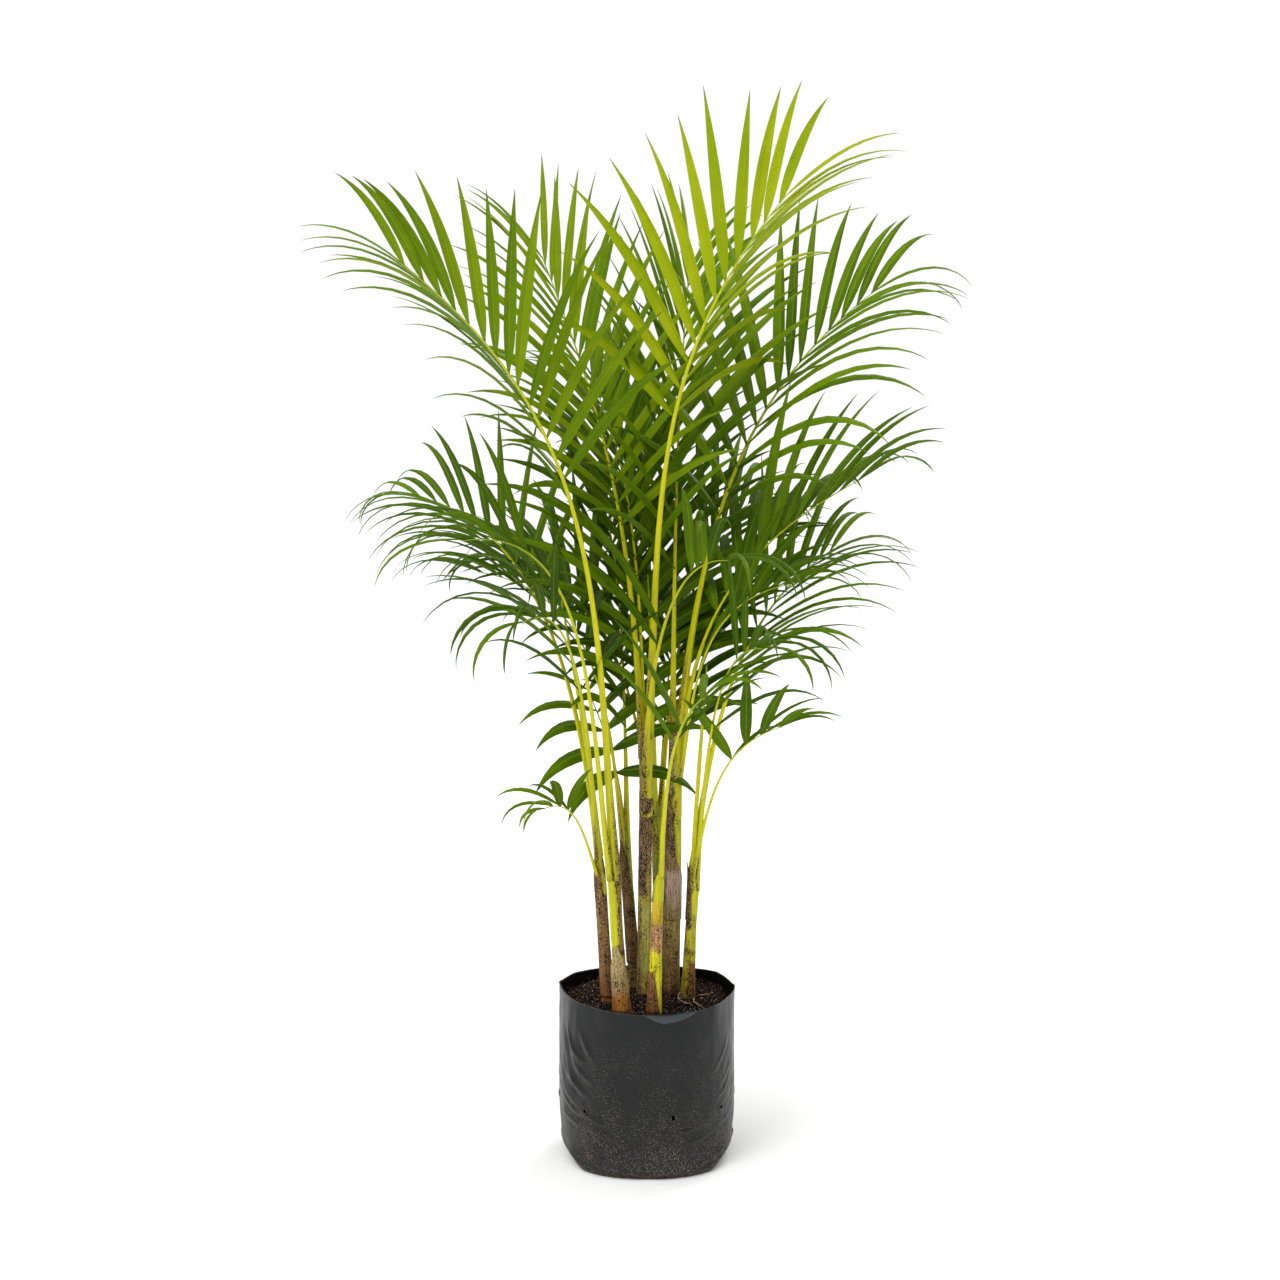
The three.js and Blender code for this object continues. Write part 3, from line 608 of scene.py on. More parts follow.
# ------------------------------------------------------------------ leaflets

# half width of a blade along its length, as a share of the widest
BLADE_OUTLINE = (
    (0.0, 0.2), (0.025, 0.26), (0.07, 0.52), (0.14, 0.8), (0.24, 0.97), (0.36, 1.0), (0.48, 0.95),
    (0.6, 0.83), (0.71, 0.66), (0.81, 0.46), (0.89, 0.27), (0.95, 0.13), (1.0, 0.0),
)


def leaflet_template():
    """One flat leaflet, 1 m long: its points hold their place along, across and up, for the tree to bend."""
    rings = []
    places = []
    skins = []
    blades = []
    for t, half in BLADE_OUTLINE:
        if half == 0:
            section = ((0.0, 0),)
        else:
            section = ((-1.0, 0), (0.0, -1), (1.0, 0), (0.0, 1))
        rings.append([Vector((t, s * half, half * (1 - abs(s)))) for s, _ in section])
        for s, skin in section:
            places.append((t, s * half, half * (1 - abs(s))))
            skins.append(skin)
            blades.append((s, t, 0))
    made = ring_body("leaflet_template", rings, LEAFLET)
    mesh = made.data
    point_values(made, "FLOAT_VECTOR", place=places, blade=blades)
    point_values(made, side=skins)
    strip = mesh.attributes.new("strip", "FLOAT_VECTOR", "CORNER")
    for face in mesh.polygons:
        lower = any(skins[mesh.loops[k].vertex_index] < 0 for k in face.loop_indices)
        for k in face.loop_indices:
            s, t, _ = blades[mesh.loops[k].vertex_index]
            strip.data[k].vector = ((s + 1) / 4 + (0.5 if lower else 0), t, 0)
    sharp = mesh.attributes.new("sharp_edge", "BOOLEAN", "EDGE")
    for edge in mesh.edges:
        low, high = (blades[v] for v in edge.vertices)
        sharp.data[edge.index].value = low[0] == high[0] and low[1] != high[1]
    return made


def leaflet_tree():
    """Puts a leaflet on every root point, bends it under its own weight and joins it to the stalk."""
    nodes = new_tree("Leaflets on a stalk", {
        "Stalk": "Geometry", "Roots": "Object", "Leaflet": "Object", "Fold": "Float",
        "Blade thickness": "Float", "Map cells": "Float", "Blade": "Material"}, "Frond")
    given = nodes.add("NodeGroupInput")
    read, maths, vectors, scaled = nodes.read, nodes.maths, nodes.vectors, nodes.scaled
    roots = nodes.add("GeometryNodeObjectInfo", {"Object": given["Roots"]})["Geometry"]
    leaflet = nodes.add("GeometryNodeObjectInfo", {"Object": given["Leaflet"]})["Geometry"]
    dots = nodes.add("GeometryNodeMeshToPoints", {"Mesh": roots})[0]
    placed = nodes.add("GeometryNodeInstanceOnPoints", {"Points": dots, "Instance": leaflet})[0]
    real = nodes.add("GeometryNodeRealizeInstances", {"Geometry": placed})[0]

    place = read("place")
    t, across_share, rise = nodes.split(place)
    length, half_width, bend = nodes.split(read("size"))
    # the bend grows with the square of the distance, and its two sums along the blade are short series
    turned = maths("MULTIPLY", bend, maths("MULTIPLY", t, t))
    square = maths("MULTIPLY", turned, turned)
    ahead = maths("MULTIPLY_ADD", maths("MULTIPLY", square, square), 1 / 216,
                  maths("MULTIPLY_ADD", square, -0.1, 1.0))
    fall = maths("MULTIPLY_ADD", maths("MULTIPLY", square, turned), -1 / 42, maths("MULTIPLY", turned, 1 / 3))
    reach = maths("MULTIPLY", length, t)
    along = read("along")
    down = read("down")
    heading_now = vectors("ADD", scaled(along, maths("COSINE", turned)), scaled(down, maths("SINE", turned)))
    twisted = nodes.add("ShaderNodeVectorRotate", {
        "Vector": read("across"), "Center": (0, 0, 0), "Axis": heading_now,
        "Angle": maths("MULTIPLY", read("twist", "FLOAT"), t)}, rotation_type="AXIS_ANGLE")[0]
    ridge = vectors("CROSS_PRODUCT", heading_now, twisted)
    lifted = maths("MULTIPLY", maths("MULTIPLY", rise, half_width), given["Fold"])
    skin = maths("MULTIPLY_ADD", read("side", "FLOAT"), given["Blade thickness"], lifted)
    spot = vectors("SUBTRACT", nodes.add("GeometryNodeInputPosition")[0], place)
    moves = ((along, maths("MULTIPLY", reach, ahead)), (down, maths("MULTIPLY", reach, fall)),
             (twisted, maths("MULTIPLY", across_share, half_width)), (ridge, skin))
    for direction, amount in moves:
        spot = vectors("ADD", spot, scaled(direction, amount))
    bent = nodes.add("GeometryNodeSetPosition", {"Geometry": real, "Position": spot})[0]

    strip = nodes.split(read("strip"))
    cell = maths("ADD", read("cell", "FLOAT"), maths("MULTIPLY_ADD", strip[0], 0.9, 0.05))
    spread = nodes.add("ShaderNodeCombineXYZ", {0: maths("DIVIDE", cell, given["Map cells"]),
                                                1: maths("MULTIPLY_ADD", strip[1], 0.98, 0.01)})[0]
    mapped = nodes.add("GeometryNodeStoreNamedAttribute", {
        "Geometry": bent, "Name": "OFBake", "Value": spread}, data_type="FLOAT2", domain="CORNER")[0]
    nodes.join("Frond", given["Stalk"], mapped, given["Blade"])
    return nodes.tree


# heights over the floor between which a tall stalk shows, as the leaflets of the fronds before it part there
SHOWN = {"frond_top_left": (430, 1010), "frond_top_right": (720, 1040), "frond_high_right": (600, 960)}
SHOWN_GAP = 6
SHOWN_STEPS = 60


def shown_stalks():
    """The place of each tall stalk at every height where it shows."""
    made = {}
    for leaf in FRONDS:
        if leaf["name"] in SHOWN:
            low, high = SHOWN[leaf["name"]]
            path = StalkPath(leaf)
            spots = [path.at(i / SHOWN_STEPS) for i in range(SHOWN_STEPS + 1)]
            made[leaf["name"]] = [spot for spot in spots if low < spot.z < high]
    return made


def lies_across(leaf, start, along, down, length, bend):
    """Whether a leaflet would pass in front of another frond's tall stalk."""
    for spots in (spots for name, spots in TALL_STALKS.items() if name != leaf["name"]):
        for i in range(1, 12):
            t = i / 12
            turned = bend * t * t
            ahead = 1 - 0.1 * turned ** 2
            spot = start + (along * ahead + down * (turned / 3)) * (length * t)
            if not spots[0].z < spot.z < spots[-1].z:
                continue
            across = through([(s.z, s.x) for s in spots], spot.z)
            depth = through([(s.z, s.y) for s in spots], spot.z)
            if spot.y < depth - 2 and abs(spot.x - across) < SHOWN_GAP:
                return True
    return False


TALL_STALKS = shown_stalks()


def leaflet_roots(leaf, path, rng):
    """Where each leaflet starts, which way it grows and faces, and how big it is."""
    rows = {key: [] for key in ("at", "along", "across", "down", "size", "twist", "tone", "cell")}
    for i in range(leaf["pairs"]):
        u = i / (leaf["pairs"] - 1)
        for hand in (-1, 1):
            share = mix(leaf["bare"], 0.99, u ** 0.9) + hand * 0.004 + rng.uniform(-0.004, 0.004)
            share = min(share, 0.995)
            forward = path.along(share)
            turn = Matrix.Rotation(math.radians(leaf["roll"]), 3, forward)
            side = turn @ path.sideways
            over = turn @ forward.cross(path.sideways).normalized()
            alpha = math.radians(mix(BASE_ANGLE, TIP_ANGLE, u ** 0.8) + leaf["open"] + rng.uniform(-4, 4))
            beta = math.radians(LIFT + rng.uniform(-6, 6))
            spread = side * hand * math.cos(beta) + over * math.sin(beta)
            along = (forward * math.cos(alpha) + spread * math.sin(alpha)).normalized()
            level = UP - along * along.z
            face = over * math.cos(beta) - side * hand * math.sin(beta)
            ridge = face + level * FACES_UP
            ridge = (ridge - along * ridge.dot(along)).normalized()
            grown = min(1.0, 0.8 + 1.2 * u) * mix(1.0, SHORTEST, u ** 2.5)
            length = leaf["long"] * grown * rng.uniform(0.94, 1.05)
            width = leaf["wide"] * mix(1.0, 0.62, u ** 1.8) * rng.uniform(0.93, 1.05)
            bend = leaf["droop"] * (0.12 + 1.25 * level.length ** 2) * rng.uniform(0.8, 1.25)
            twist = math.radians(rng.uniform(-22, 22))
            # each leaflet takes its frond's age-and-light value, with its painted light and shade, a little
            # lighter towards the tip and varied at random
            tone = leaf["tone"] + 0.06 * u + rng.uniform(-0.1, 0.1)
            if lies_across(leaf, path.at(share), along, -level.normalized(), length, bend):
                continue
            found = {"at": path.at(share) * MM, "along": along, "across": ridge.cross(along),
                     "down": -level.normalized(), "size": (length * MM, width / 2 * MM, bend), "twist": twist,
                     "tone": tone, "cell": len(rows["cell"])}
            for key, value in found.items():
                rows[key].append(value)
    return rows


BLADE_FOLD = 0.38  # how high a blade's ridge stands, as a share of its half width
BLADE_THICKNESS = 0.22 * MM
leaflet_piece = leaflet_template()
leaflets = leaflet_tree()


def make_frond(leaf, seed):
    path = StalkPath(leaf)
    rows = leaflet_roots(leaf, path, random.Random(seed))
    cells = len(rows["at"]) + 1
    frond = stalk_mesh(leaf, path, cells)
    dots = mesh_object(leaf["name"] + "_roots", rows["at"], [], LEAFLET)
    point_values(dots, "FLOAT_VECTOR", **{key: rows[key] for key in ("along", "across", "down", "size")})
    point_values(dots, **{key: rows[key] for key in ("twist", "tone", "cell")})
    run_tree(frond, leaflets, {
        "Roots": dots, "Leaflet": leaflet_piece, "Fold": BLADE_FOLD, "Blade thickness": BLADE_THICKNESS,
        "Map cells": float(cells), "Blade": LEAFLET})
    bpy.data.objects.remove(dots)
    finish_piece(frond, "leaf_blade", leaf["name"])


for number, leaf in enumerate(FRONDS):
    make_frond(leaf, 100 + number)
bpy.data.objects.remove(leaflet_piece)


# ------------------------------------------------------------------ canes

CANE_SIDES = 32
CANE_STEP = 2.5

# heights are over the floor. skin: colour up the cane. scurf: how much brown flakes cover it. patches: from,
# to, facing, degrees it spans, colour, scurf. scars: rings left by fallen leaves
CANE_LOOKS = {
    1: dict(skin=((200, "#8C4E18"), (228, "#8A5828"), (250, "#8C6436"), (350, "#947440"), (405, "#7E6032")),
            scurf=((200, 0.5), (228, 0.6), (250, 0.75), (405, 0.85)),
            patches=((352, 410, 185, 150, "#B4B41C", 0.3), (235, 300, 330, 90, "#8C6C44", 0.7)),
            scars=(248, 301, 352)),
    2: dict(skin=((200, "#8A5A20"), (286, "#9A8A1E"), (292, "#C6BE14"), (320, "#BECA1A"), (392, "#B2C41C")),
            scurf=((200, 0.5), (286, 0.4), (300, 0.12), (392, 0.1)),
            patches=((286, 392, 345, 130, "#8A6C3C", 0.88), (284, 290, 300, 120, "#4E3320", 0.8)),
            scars=(289,)),
    3: dict(skin=((200, "#74582E"), (228, "#7A6430"), (300, "#84783A"), (350, "#848A2C"), (420, "#8C9626")),
            scurf=((200, 0.65), (240, 0.85), (340, 0.75), (420, 0.6)),
            patches=((335, 425, 215, 140, "#7E6434", 0.9), (300, 425, 350, 70, "#7C9420", 0.4)),
            scars=(226, 282, 335)),
    4: dict(skin=((200, "#8E7434"), (225, "#A0903E"), (330, "#AA9C42"), (372, "#9A843C"), (400, "#8A7248"),
                  (560, "#80664A")),
            scurf=((200, 0.8), (240, 0.5), (330, 0.5), (372, 0.75), (420, 0.9), (560, 0.9)),
            patches=((205, 330, 200, 90, "#80703C", 0.72), (345, 470, 215, 150, "#7E6446", 0.92),
                     (240, 330, 285, 50, "#A8A650", 0.4)),
            scars=(252, 318, 392, 470)),
    5: dict(skin=((200, "#A89420"), (225, "#B4AE18"), (260, "#C2BE16"), (284, "#C6BE18"), (293, "#B48A54"),
                  (318, "#B0855A"), (330, "#BA9A1A"), (352, "#C2AE18"), (386, "#C6C01A")),
            scurf=((200, 0.7), (225, 0.55), (260, 0.45), (282, 0.5), (294, 0.72), (320, 0.7), (332, 0.4),
                   (386, 0.3)),
            patches=((200, 262, 208, 130, "#7A4C28", 0.72),),
            scars=(290, 325)),
    6: dict(skin=((200, "#6A4A28"), (225, "#7A5E34"), (290, "#84703C"), (306, "#8C7A3E"), (318, "#8E7A5A"),
                  (350, "#A08A76"), (366, "#A08A76"), (374, "#B09C1C"), (400, "#AFB01C"), (560, "#A4AC1E")),
            scurf=((200, 0.85), (240, 0.72), (300, 0.72), (318, 0.4), (366, 0.3), (378, 0.4), (560, 0.25)),
            patches=((368, 562, 200, 120, "#94805C", 0.97), (203, 218, 270, 360, "#5A3A1E", 0.85)),
            scars=(240, 305, 369)),
    7: dict(skin=((200, "#8A6A20"), (226, "#94861E"), (262, "#A69C1E"), (310, "#AAAA1C"), (395, "#A0A61E")),
            scurf=((200, 0.85), (235, 0.72), (262, 0.55), (300, 0.4), (395, 0.5)),
            patches=((272, 277, 220, 170, "#5C3C1E", 0.8), (305, 396, 195, 130, "#76603A", 0.93),
                     (205, 262, 320, 130, "#7A5628", 0.86), (262, 305, 185, 60, "#7E6634", 0.85)),
            scars=(274, 322)),
    8: dict(skin=((200, "#5A4226"), (260, "#6A5C30"), (350, "#7A7C2C"), (450, "#869020")),
            scurf=((200, 0.8), (300, 0.6), (450, 0.4)), patches=(), scars=(240, 300, 362)),
}


def painted(look, z, angle, spot):
    """The skin colour and the scurf of a place on a cane or a dry leaf base."""
    wander = noise.fractal(spot * 0.09, 1.0, 2.0, 3)
    height = z + 5 * wander
    stops = look["skin"]
    places = [s[0] for s in stops]
    colour = np.array([np.interp(height, places, [linear(s[1])[k] for s in stops]) for k in range(3)])
    scurf = through(look["scurf"], height)
    for low, high, facing, span, patch, amount in look["patches"]:
        inside = min(height - low, high - height) / 6 + 0.5
        if span < 360:
            edge = (span / 2 - angle_apart(angle, facing)) / 14 + 0.5 + 1.2 * wander
            inside = min(inside, edge)
        inside = min(1.0, max(0.0, inside))
        colour = colour * (1 - inside) + np.array(linear(patch)[:3]) * inside
        scurf = mix(scurf, amount, inside)
    return (*colour, 1.0), scurf


def make_cane(number):
    foot, _, tall, _ = CANES[number]
    look = CANE_LOOKS[number]
    low = mix_height(*foot) - BURIED
    top = MIX_EDGE + tall
    rings, colours, scurfs = [], [], []
    steps = round((top - low) / CANE_STEP)
    for i in range(steps + 1):
        z = mix(low, top, i / steps)
        radius = cane_radius(number, z)
        radius *= 1 + 0.1 * math.exp(-max(0, z - low - BURIED) / 10)
        for scar in look["scars"]:
            ridge = 0.35 * math.exp(-((z - scar + 1.5) / 1.6) ** 2)
            groove = 0.3 * math.exp(-((z - scar - 1.5) / 1.4) ** 2)
            radius += ridge - groove
        # the top narrows to the youngest leaf base
        radius *= math.sqrt(min(1.0, max(0.06, (top - z) / 22)))
        centre = cane_centre(number, z)
        ring = []
        for k in range(CANE_SIDES):
            angle = 360 * k / CANE_SIDES
            out = heading(angle)
            spot = centre + out * radius
            lump = 0.45 * noise.noise(Vector((spot.x, spot.y, spot.z * 0.25)) * 0.12)
            ring.append((spot + out * lump) * MM)
            colour, scurf = painted(look, z, angle, spot)
            colours.append(colour)
            scurfs.append(scurf)
        rings.append(ring)
    name = f"cane_{number}"
    cane = ring_body(name + "_rind", rings, CANE)
    point_values(cane, "FLOAT_COLOR", skin=colours)
    point_values(cane, scurf=scurfs)
    finish_piece(cane, "cane_skin", name)


for number in CANES:
    make_cane(number)


# ------------------------------------------------------------------ dry leaf bases

# spans: degrees of cane that it wraps, at heights over the floor. facing: the middle of the flap
SHEATHS = {
    1: dict(facing=232, lift=0.5, spans=((216, 200), (300, 170), (350, 110), (384, 50), (397, 6)),
            skin=((216, "#7C4C24"), (260, "#7E5C38"), (340, "#8C7048"), (397, "#6E5234")),
            scurf=((216, 0.55), (300, 0.78), (397, 0.88)), patches=()),
    2: dict(facing=262, lift=0.7, spans=((210, 280), (240, 230), (262, 150), (280, 70), (290, 24), (295, 5)),
            skin=((210, "#80501C"), (226, "#8E5E24"), (236, "#94784A"), (262, "#A08C5C"), (290, "#AE9A66")),
            scurf=((210, 0.5), (232, 0.55), (245, 0.62), (290, 0.5)),
            patches=((212, 233, 275, 55, "#A06824", 0.68), (240, 285, 320, 70, "#9A8254", 0.75))),
    3: dict(facing=235, lift=0.5, spans=((243, 190), (330, 150), (380, 90), (403, 8)),
            skin=((243, "#6A4E2A"), (330, "#70582E"), (403, "#5E4626")),
            scurf=((243, 0.85), (403, 0.85)), patches=()),
    5: dict(facing=208, lift=0.5, spans=((211, 190), (240, 150), (258, 90), (264, 10)),
            skin=((211, "#6E4824"), (240, "#7C542E"), (264, "#86603A")),
            scurf=((211, 0.72), (264, 0.7)), patches=()),
    6: dict(facing=222, lift=0.4,
            spans=((308, 345), (352, 340), (372, 215), (385, 130), (440, 90), (466, 40), (474, 8)),
            skin=((308, "#86743E"), (322, "#8A7650"), (340, "#988270"), (366, "#A08A78"), (376, "#7E6848"),
                  (474, "#76603E")),
            scurf=((308, 0.72), (326, 0.5), (340, 0.35), (362, 0.35), (374, 0.85), (474, 0.95)),
            patches=((320, 372, 190, 50, "#6E5A3E", 0.85),)),
    7: dict(facing=175, lift=0.6, spans=((316, 190), (350, 160), (376, 100), (391, 10)),
            skin=((316, "#76603A"), (391, "#6E5636")),
            scurf=((316, 0.9), (391, 0.95)), patches=()),
}
SHEATH_WALL = 0.7
SHEATH_COLUMNS = 26


def sheet_to_shell(grid, wall, closed, gone=None):
    """A thin closed body from a grid of points on its middle surface, with holes where gone is true."""
    rows, columns, _ = grid.shape
    across = np.roll(grid, -1, 1) - np.roll(grid, 1, 1) if closed else np.gradient(grid, axis=1)
    up = np.gradient(grid, axis=0)
    normal = np.cross(across, up)
    normal /= np.maximum(np.linalg.norm(normal, axis=2, keepdims=True), 1e-12)
    half_wall = normal * wall / 2
    points = np.concatenate([(grid + half_wall).reshape(-1, 3), (grid - half_wall).reshape(-1, 3)])
    half = rows * columns
    faces = []
    edges = {}
    for i in range(rows - 1):
        for k in range(columns if closed else columns - 1):
            if gone is not None and gone[i, k]:
                continue
            nxt = (k + 1) % columns
            a, b, c, d = i * columns + k, i * columns + nxt, (i + 1) * columns + nxt, (i + 1) * columns + k
            faces.append((a, b, c, d))
            faces.append((d + half, c + half, b + half, a + half))
            for start, end in ((a, b), (b, c), (c, d), (d, a)):
                if (end, start) in edges:
                    del edges[(end, start)]
                else:
                    edges[(start, end)] = True
    for start, end in edges:
        faces.append((end, start, start + half, end + half))
    return points, faces


def make_sheath(number):
    look = SHEATHS[number]
    low, high = look["spans"][0][0], look["spans"][-1][0]
    rows = max(14, round((high - low) / 3.5))
    grid = np.zeros((rows + 1, SHEATH_COLUMNS + 1, 3))
    colours, scurfs = [], []
    for i in range(rows + 1):
        z = mix(low, high, i / rows)
        span = through(look["spans"], z)
        centre = cane_centre(number, z)
        for k in range(SHEATH_COLUMNS + 1):
            share = 2 * k / SHEATH_COLUMNS - 1
            angle = look["facing"] + share * span / 2
            out = heading(angle)
            radius = cane_radius(number, z) * (1 + 0.1 * math.exp(-max(0, z - 210) / 10)) + SHEATH_WALL
            free = (i / rows) ** 3
            radius += look["lift"] * (0.25 + abs(share) ** 3 + 2.2 * free)
            ragged = noise.noise(Vector((angle * 0.2, number * 9.0, z * 0.05)))
            radius += 0.3 * ragged
            spot = centre + out * radius + UP * (2.2 * ragged * (i / rows))
            grid[i, k] = spot * MM
            colour, scurf = painted(look, z, angle, spot)
            colours.append(colour)
            scurfs.append(scurf)
    points, faces = sheet_to_shell(grid, SHEATH_WALL * MM, False)
    name = f"dry_sheath_{number}"
    sheath = mesh_object(name + "_husk", points, faces, CANE)
    point_values(sheath, "FLOAT_COLOR", skin=colours * 2)
    point_values(sheath, scurf=scurfs * 2)
    finish_piece(sheath, "dry_leaf_base", name)


for number in SHEATHS:
    make_sheath(number)


# ------------------------------------------------------------------ spears: leaves that have not opened

SPEAR_SIDES = 14
SPEAR_STEPS = 60
SPEAR_TONE = 0.7


def make_spear(leaf):
    leaf = dict(leaf, below=5, off=2)
    path = StalkPath(leaf)
    rings = []
    shares = []
    for i in range(SPEAR_STEPS + 1):
        t = i / SPEAR_STEPS
        radius = leaf["thick"] * through(((0, 1.35), (0.08, 1.0), (0.55, 0.95), (0.9, 0.5), (1, 0.28)), t)
        centre = path.at(t)
        over = path.along(t).cross(path.sideways).normalized()
        ring = []
        for k in range(SPEAR_SIDES):
            angle = 2 * math.pi * k / SPEAR_SIDES + 1.4 * t
            pleat = 1 + 0.1 * (1 if k % 2 else -1) * min(1, t * 6)
            out = path.sideways * math.cos(angle) + over * math.sin(angle)
            ring.append((centre + out * radius * pleat) * MM)
        rings.append(ring)
        shares += [t] * SPEAR_SIDES
    rings.append([path.at(1.0) * MM + path.along(1.0) * 6 * MM])
    spear = ring_body(leaf["name"] + "_folded", rings, STALK)
    along = shares + [1.0]
    point_values(spear, along=along, tone=[SPEAR_TONE] * len(along), scurf=[0.0] * len(along))
    finish_piece(spear, "spear_leaf", leaf["name"])


for leaf in SPEARS:
    make_spear(leaf)


# ------------------------------------------------------------------ bag

BAG_COLUMNS = 320
FOOT_ROWS = 12
WALL_ROW = 2.1
RIM = ((0, 222), (12, 219), (34, 221), (60, 218), (90, 217), (120, 218), (150, 221), (166, 222), (180, 227),
       (190, 222), (215, 219), (240, 217), (270, 216), (300, 216), (330, 218), (350, 221), (360, 222))
# corners of the rim: the film runs nearly straight between them
RIM_CORNERS = (0, 38, 92, 146, 180, 262, 318)
# the lip that has folded out at the front: how far it hangs down, in millimetres
LIP = ((262, 1.2), (268, 1.2), (276, 9.5), (281, 12.5), (290, 10.5), (298, 6.0), (305, 1.2), (310, 1.2))
LIP_SHEEN_DROP = 4  # a lip that hangs this far gets the full painted sheen
# facing, height, length, slope in degrees, width, depth, how much it curves
CREASES = (
    (212, 160, 70, -48, 4.4, 2.2, 0.006), (217, 138, 76, -44, 4.8, 2.5, 0.007),
    (205, 122, 58, -40, 4.0, 2.0, 0.008), (216, 112, 62, -34, 3.8, 1.9, 0.006),
    (206, 96, 56, -30, 3.4, 1.8, 0.006), (226, 164, 52, -52, 4.0, 1.3, 0.004),
    (214, 78, 66, -16, 3.0, 1.8, 0.003), (208, 64, 58, -12, 2.8, 1.6, 0.002),
    (238, 70, 96, -13, 2.8, 1.9, 0.002), (246, 50, 70, -12, 2.6, 1.5, 0.003),
    (289, 60, 92, 5, 2.8, 1.8, 0.002), (302, 46, 72, 10, 2.6, 1.6, 0.003),
    (328, 150, 60, 50, 3.2, 1.0, 0.004), (336, 128, 62, 46, 3.0, 1.2, 0.005),
    (331, 104, 54, 36, 2.6, 1.0, 0.005), (338, 82, 46, 24, 2.4, 0.9, 0.004),
    (330, 62, 40, 14, 2.2, 0.9, 0.003), (258, 30, 90, -5, 2.4, 0.8, 0.001),
    (40, 140, 70, 40, 3.2, 1.3, 0.005), (70, 110, 70, 20, 3.0, 1.2, 0.003),
    (96, 70, 80, -8, 2.6, 1.2, 0.002), (120, 150, 64, -46, 3.2, 1.3, 0.005),
    (146, 120, 60, -40, 3.0, 1.4, 0.006), (158, 92, 52, -30, 2.6, 1.1, 0.005),
    (20, 96, 54, 30, 2.6, 1.2, 0.005), (55, 54, 60, 10, 2.4, 1.0, 0.003),
    (140, 52, 60, -10, 2.4, 1.0, 0.003), (350, 112, 44, 52, 2.4, 1.1, 0.006),
    (188, 110, 40, -56, 2.4, 1.1, 0.006),
)
# folds of the tucked foot: facing, height, length, slope, width, depth, curve
FOOT_FOLDS = (
    (226, 16, 70, -16, 2.0, 2.6, 0.002), (252, 8, 80, -5, 1.6, 2.2, 0.0005),
    (236, 26, 46, -26, 1.8, 1.4, 0.003), (312, 15, 66, 14, 2.0, 2.6, 0.002),
    (288, 7, 78, 3, 1.6, 2.2, 0.0005), (322, 27, 40, 28, 1.8, 1.3, 0.003),
    (46, 16, 66, 14, 2.0, 2.4, 0.002), (134, 16, 66, -14, 2.0, 2.4, 0.002),
    (90, 8, 110, 2, 1.6, 2.0, 0.0), (4, 20, 50, 20, 2.0, 1.8, 0.003), (176, 20, 50, -20, 2.0, 1.8, 0.003),
)
MOST_BULGE = 4.0
HOLE_RADIUS = 3.0
HOLE_LIP = 1.3  # the punched film stands out round a hole
HOLES = [(facing, 81) for facing in (2, 47, 93, 138, 184, 226, 287, 326)]
HOLES += [(facing, 26) for facing in (6, 70, 112, 178)]
HOLE_STAIN = 5.5  # how far the mix has washed out of a hole
# how thick dried mix is under the base, in a patch and along the foot, from 0 to 1
BASE_STAIN, PATCH_STAIN, FOOT_STAIN = 0.6, 0.72, 0.68
FOOT_STAIN_HEIGHT = 30
# patches of dried mix on the film: facing, height, size
STAINS = ((230, 24, 14), (250, 22, 10), (292, 50, 12), (318, 16, 16), (335, 60, 12), (204, 60, 10),
          (262, 60, 6), (205, 30, 14), (345, 34, 14), (60, 30, 14), (120, 22, 12))


def film_radius(angle, z):
    """Radius of the filled film, in millimetres, for arrays of degrees and heights."""
    turn = np.radians(angle)
    sum_of_powers = np.abs(np.cos(turn)) ** FOOT_POWER + np.abs(np.sin(turn)) ** FOOT_POWER
    square = FOOT_HALF / sum_of_powers ** (1 / FOOT_POWER)
    share = np.clip(z / SQUARE_UP_TO, 0, 1)
    share = share * share * (3 - 2 * share)
    # the foot turns in tightly at the front and back, and more at the two ends of its seam
    end = np.clip((np.abs(np.cos(turn)) - 0.7) / 0.26, 0, 1)
    end = end * end * (3 - 2 * end)
    tall = 7 + 15 * end
    tuck = (4.5 + 13 * end) * np.clip(1 - z / tall, 0, 1) ** 1.5
    return square + (BAG_RADIUS - square) * share - tuck


def rim_pull(angle, z):
    """How far the film lies inside its round shape, as it runs nearly straight between the rim's corners."""
    corners = np.array(RIM_CORNERS + (360,))
    turn = angle % 360
    place = np.clip(np.searchsorted(corners, turn, side="right") - 1, 0, len(corners) - 2)
    middle = (corners[place] + corners[place + 1]) / 2
    half = (corners[place + 1] - corners[place]) / 2
    chord = BAG_RADIUS * np.cos(np.radians(half)) / np.cos(np.radians(turn - middle))
    return (chord - BAG_RADIUS) * 0.22 * np.clip((z - 120) / 100, 0, 1) ** 1.6


def film_row(radius, turns, z):
    """Points of the film at one height or several, for a radius at each facing."""
    turn = np.radians(turns)
    return np.stack([radius * np.cos(turn), radius * np.sin(turn), z], axis=-1)


def arc(angle, facing):
    """How far round the bag places lie from a facing, in millimetres."""
    return np.radians((angle - facing + 180) % 360 - 180) * BAG_RADIUS


def strokes(angle, z, table):
    """How far creases push the film out, in millimetres."""
    push = np.zeros_like(angle)
    for facing, height, length, slope, width, depth, curve in table:
        across = arc(angle, facing)
        up = z - height
        tilt = math.radians(slope)
        along = across * math.cos(tilt) + up * math.sin(tilt)
        off = up * math.cos(tilt) - across * math.sin(tilt) - curve * along ** 2
        fade = np.clip(1 - (2 * along / length) ** 2, 0, 1)
        ridge = np.exp(-(off / width) ** 2) - 0.75 * np.exp(-((off + 1.7 * width) / (1.3 * width)) ** 2)
        push += depth * fade * ridge
    return push


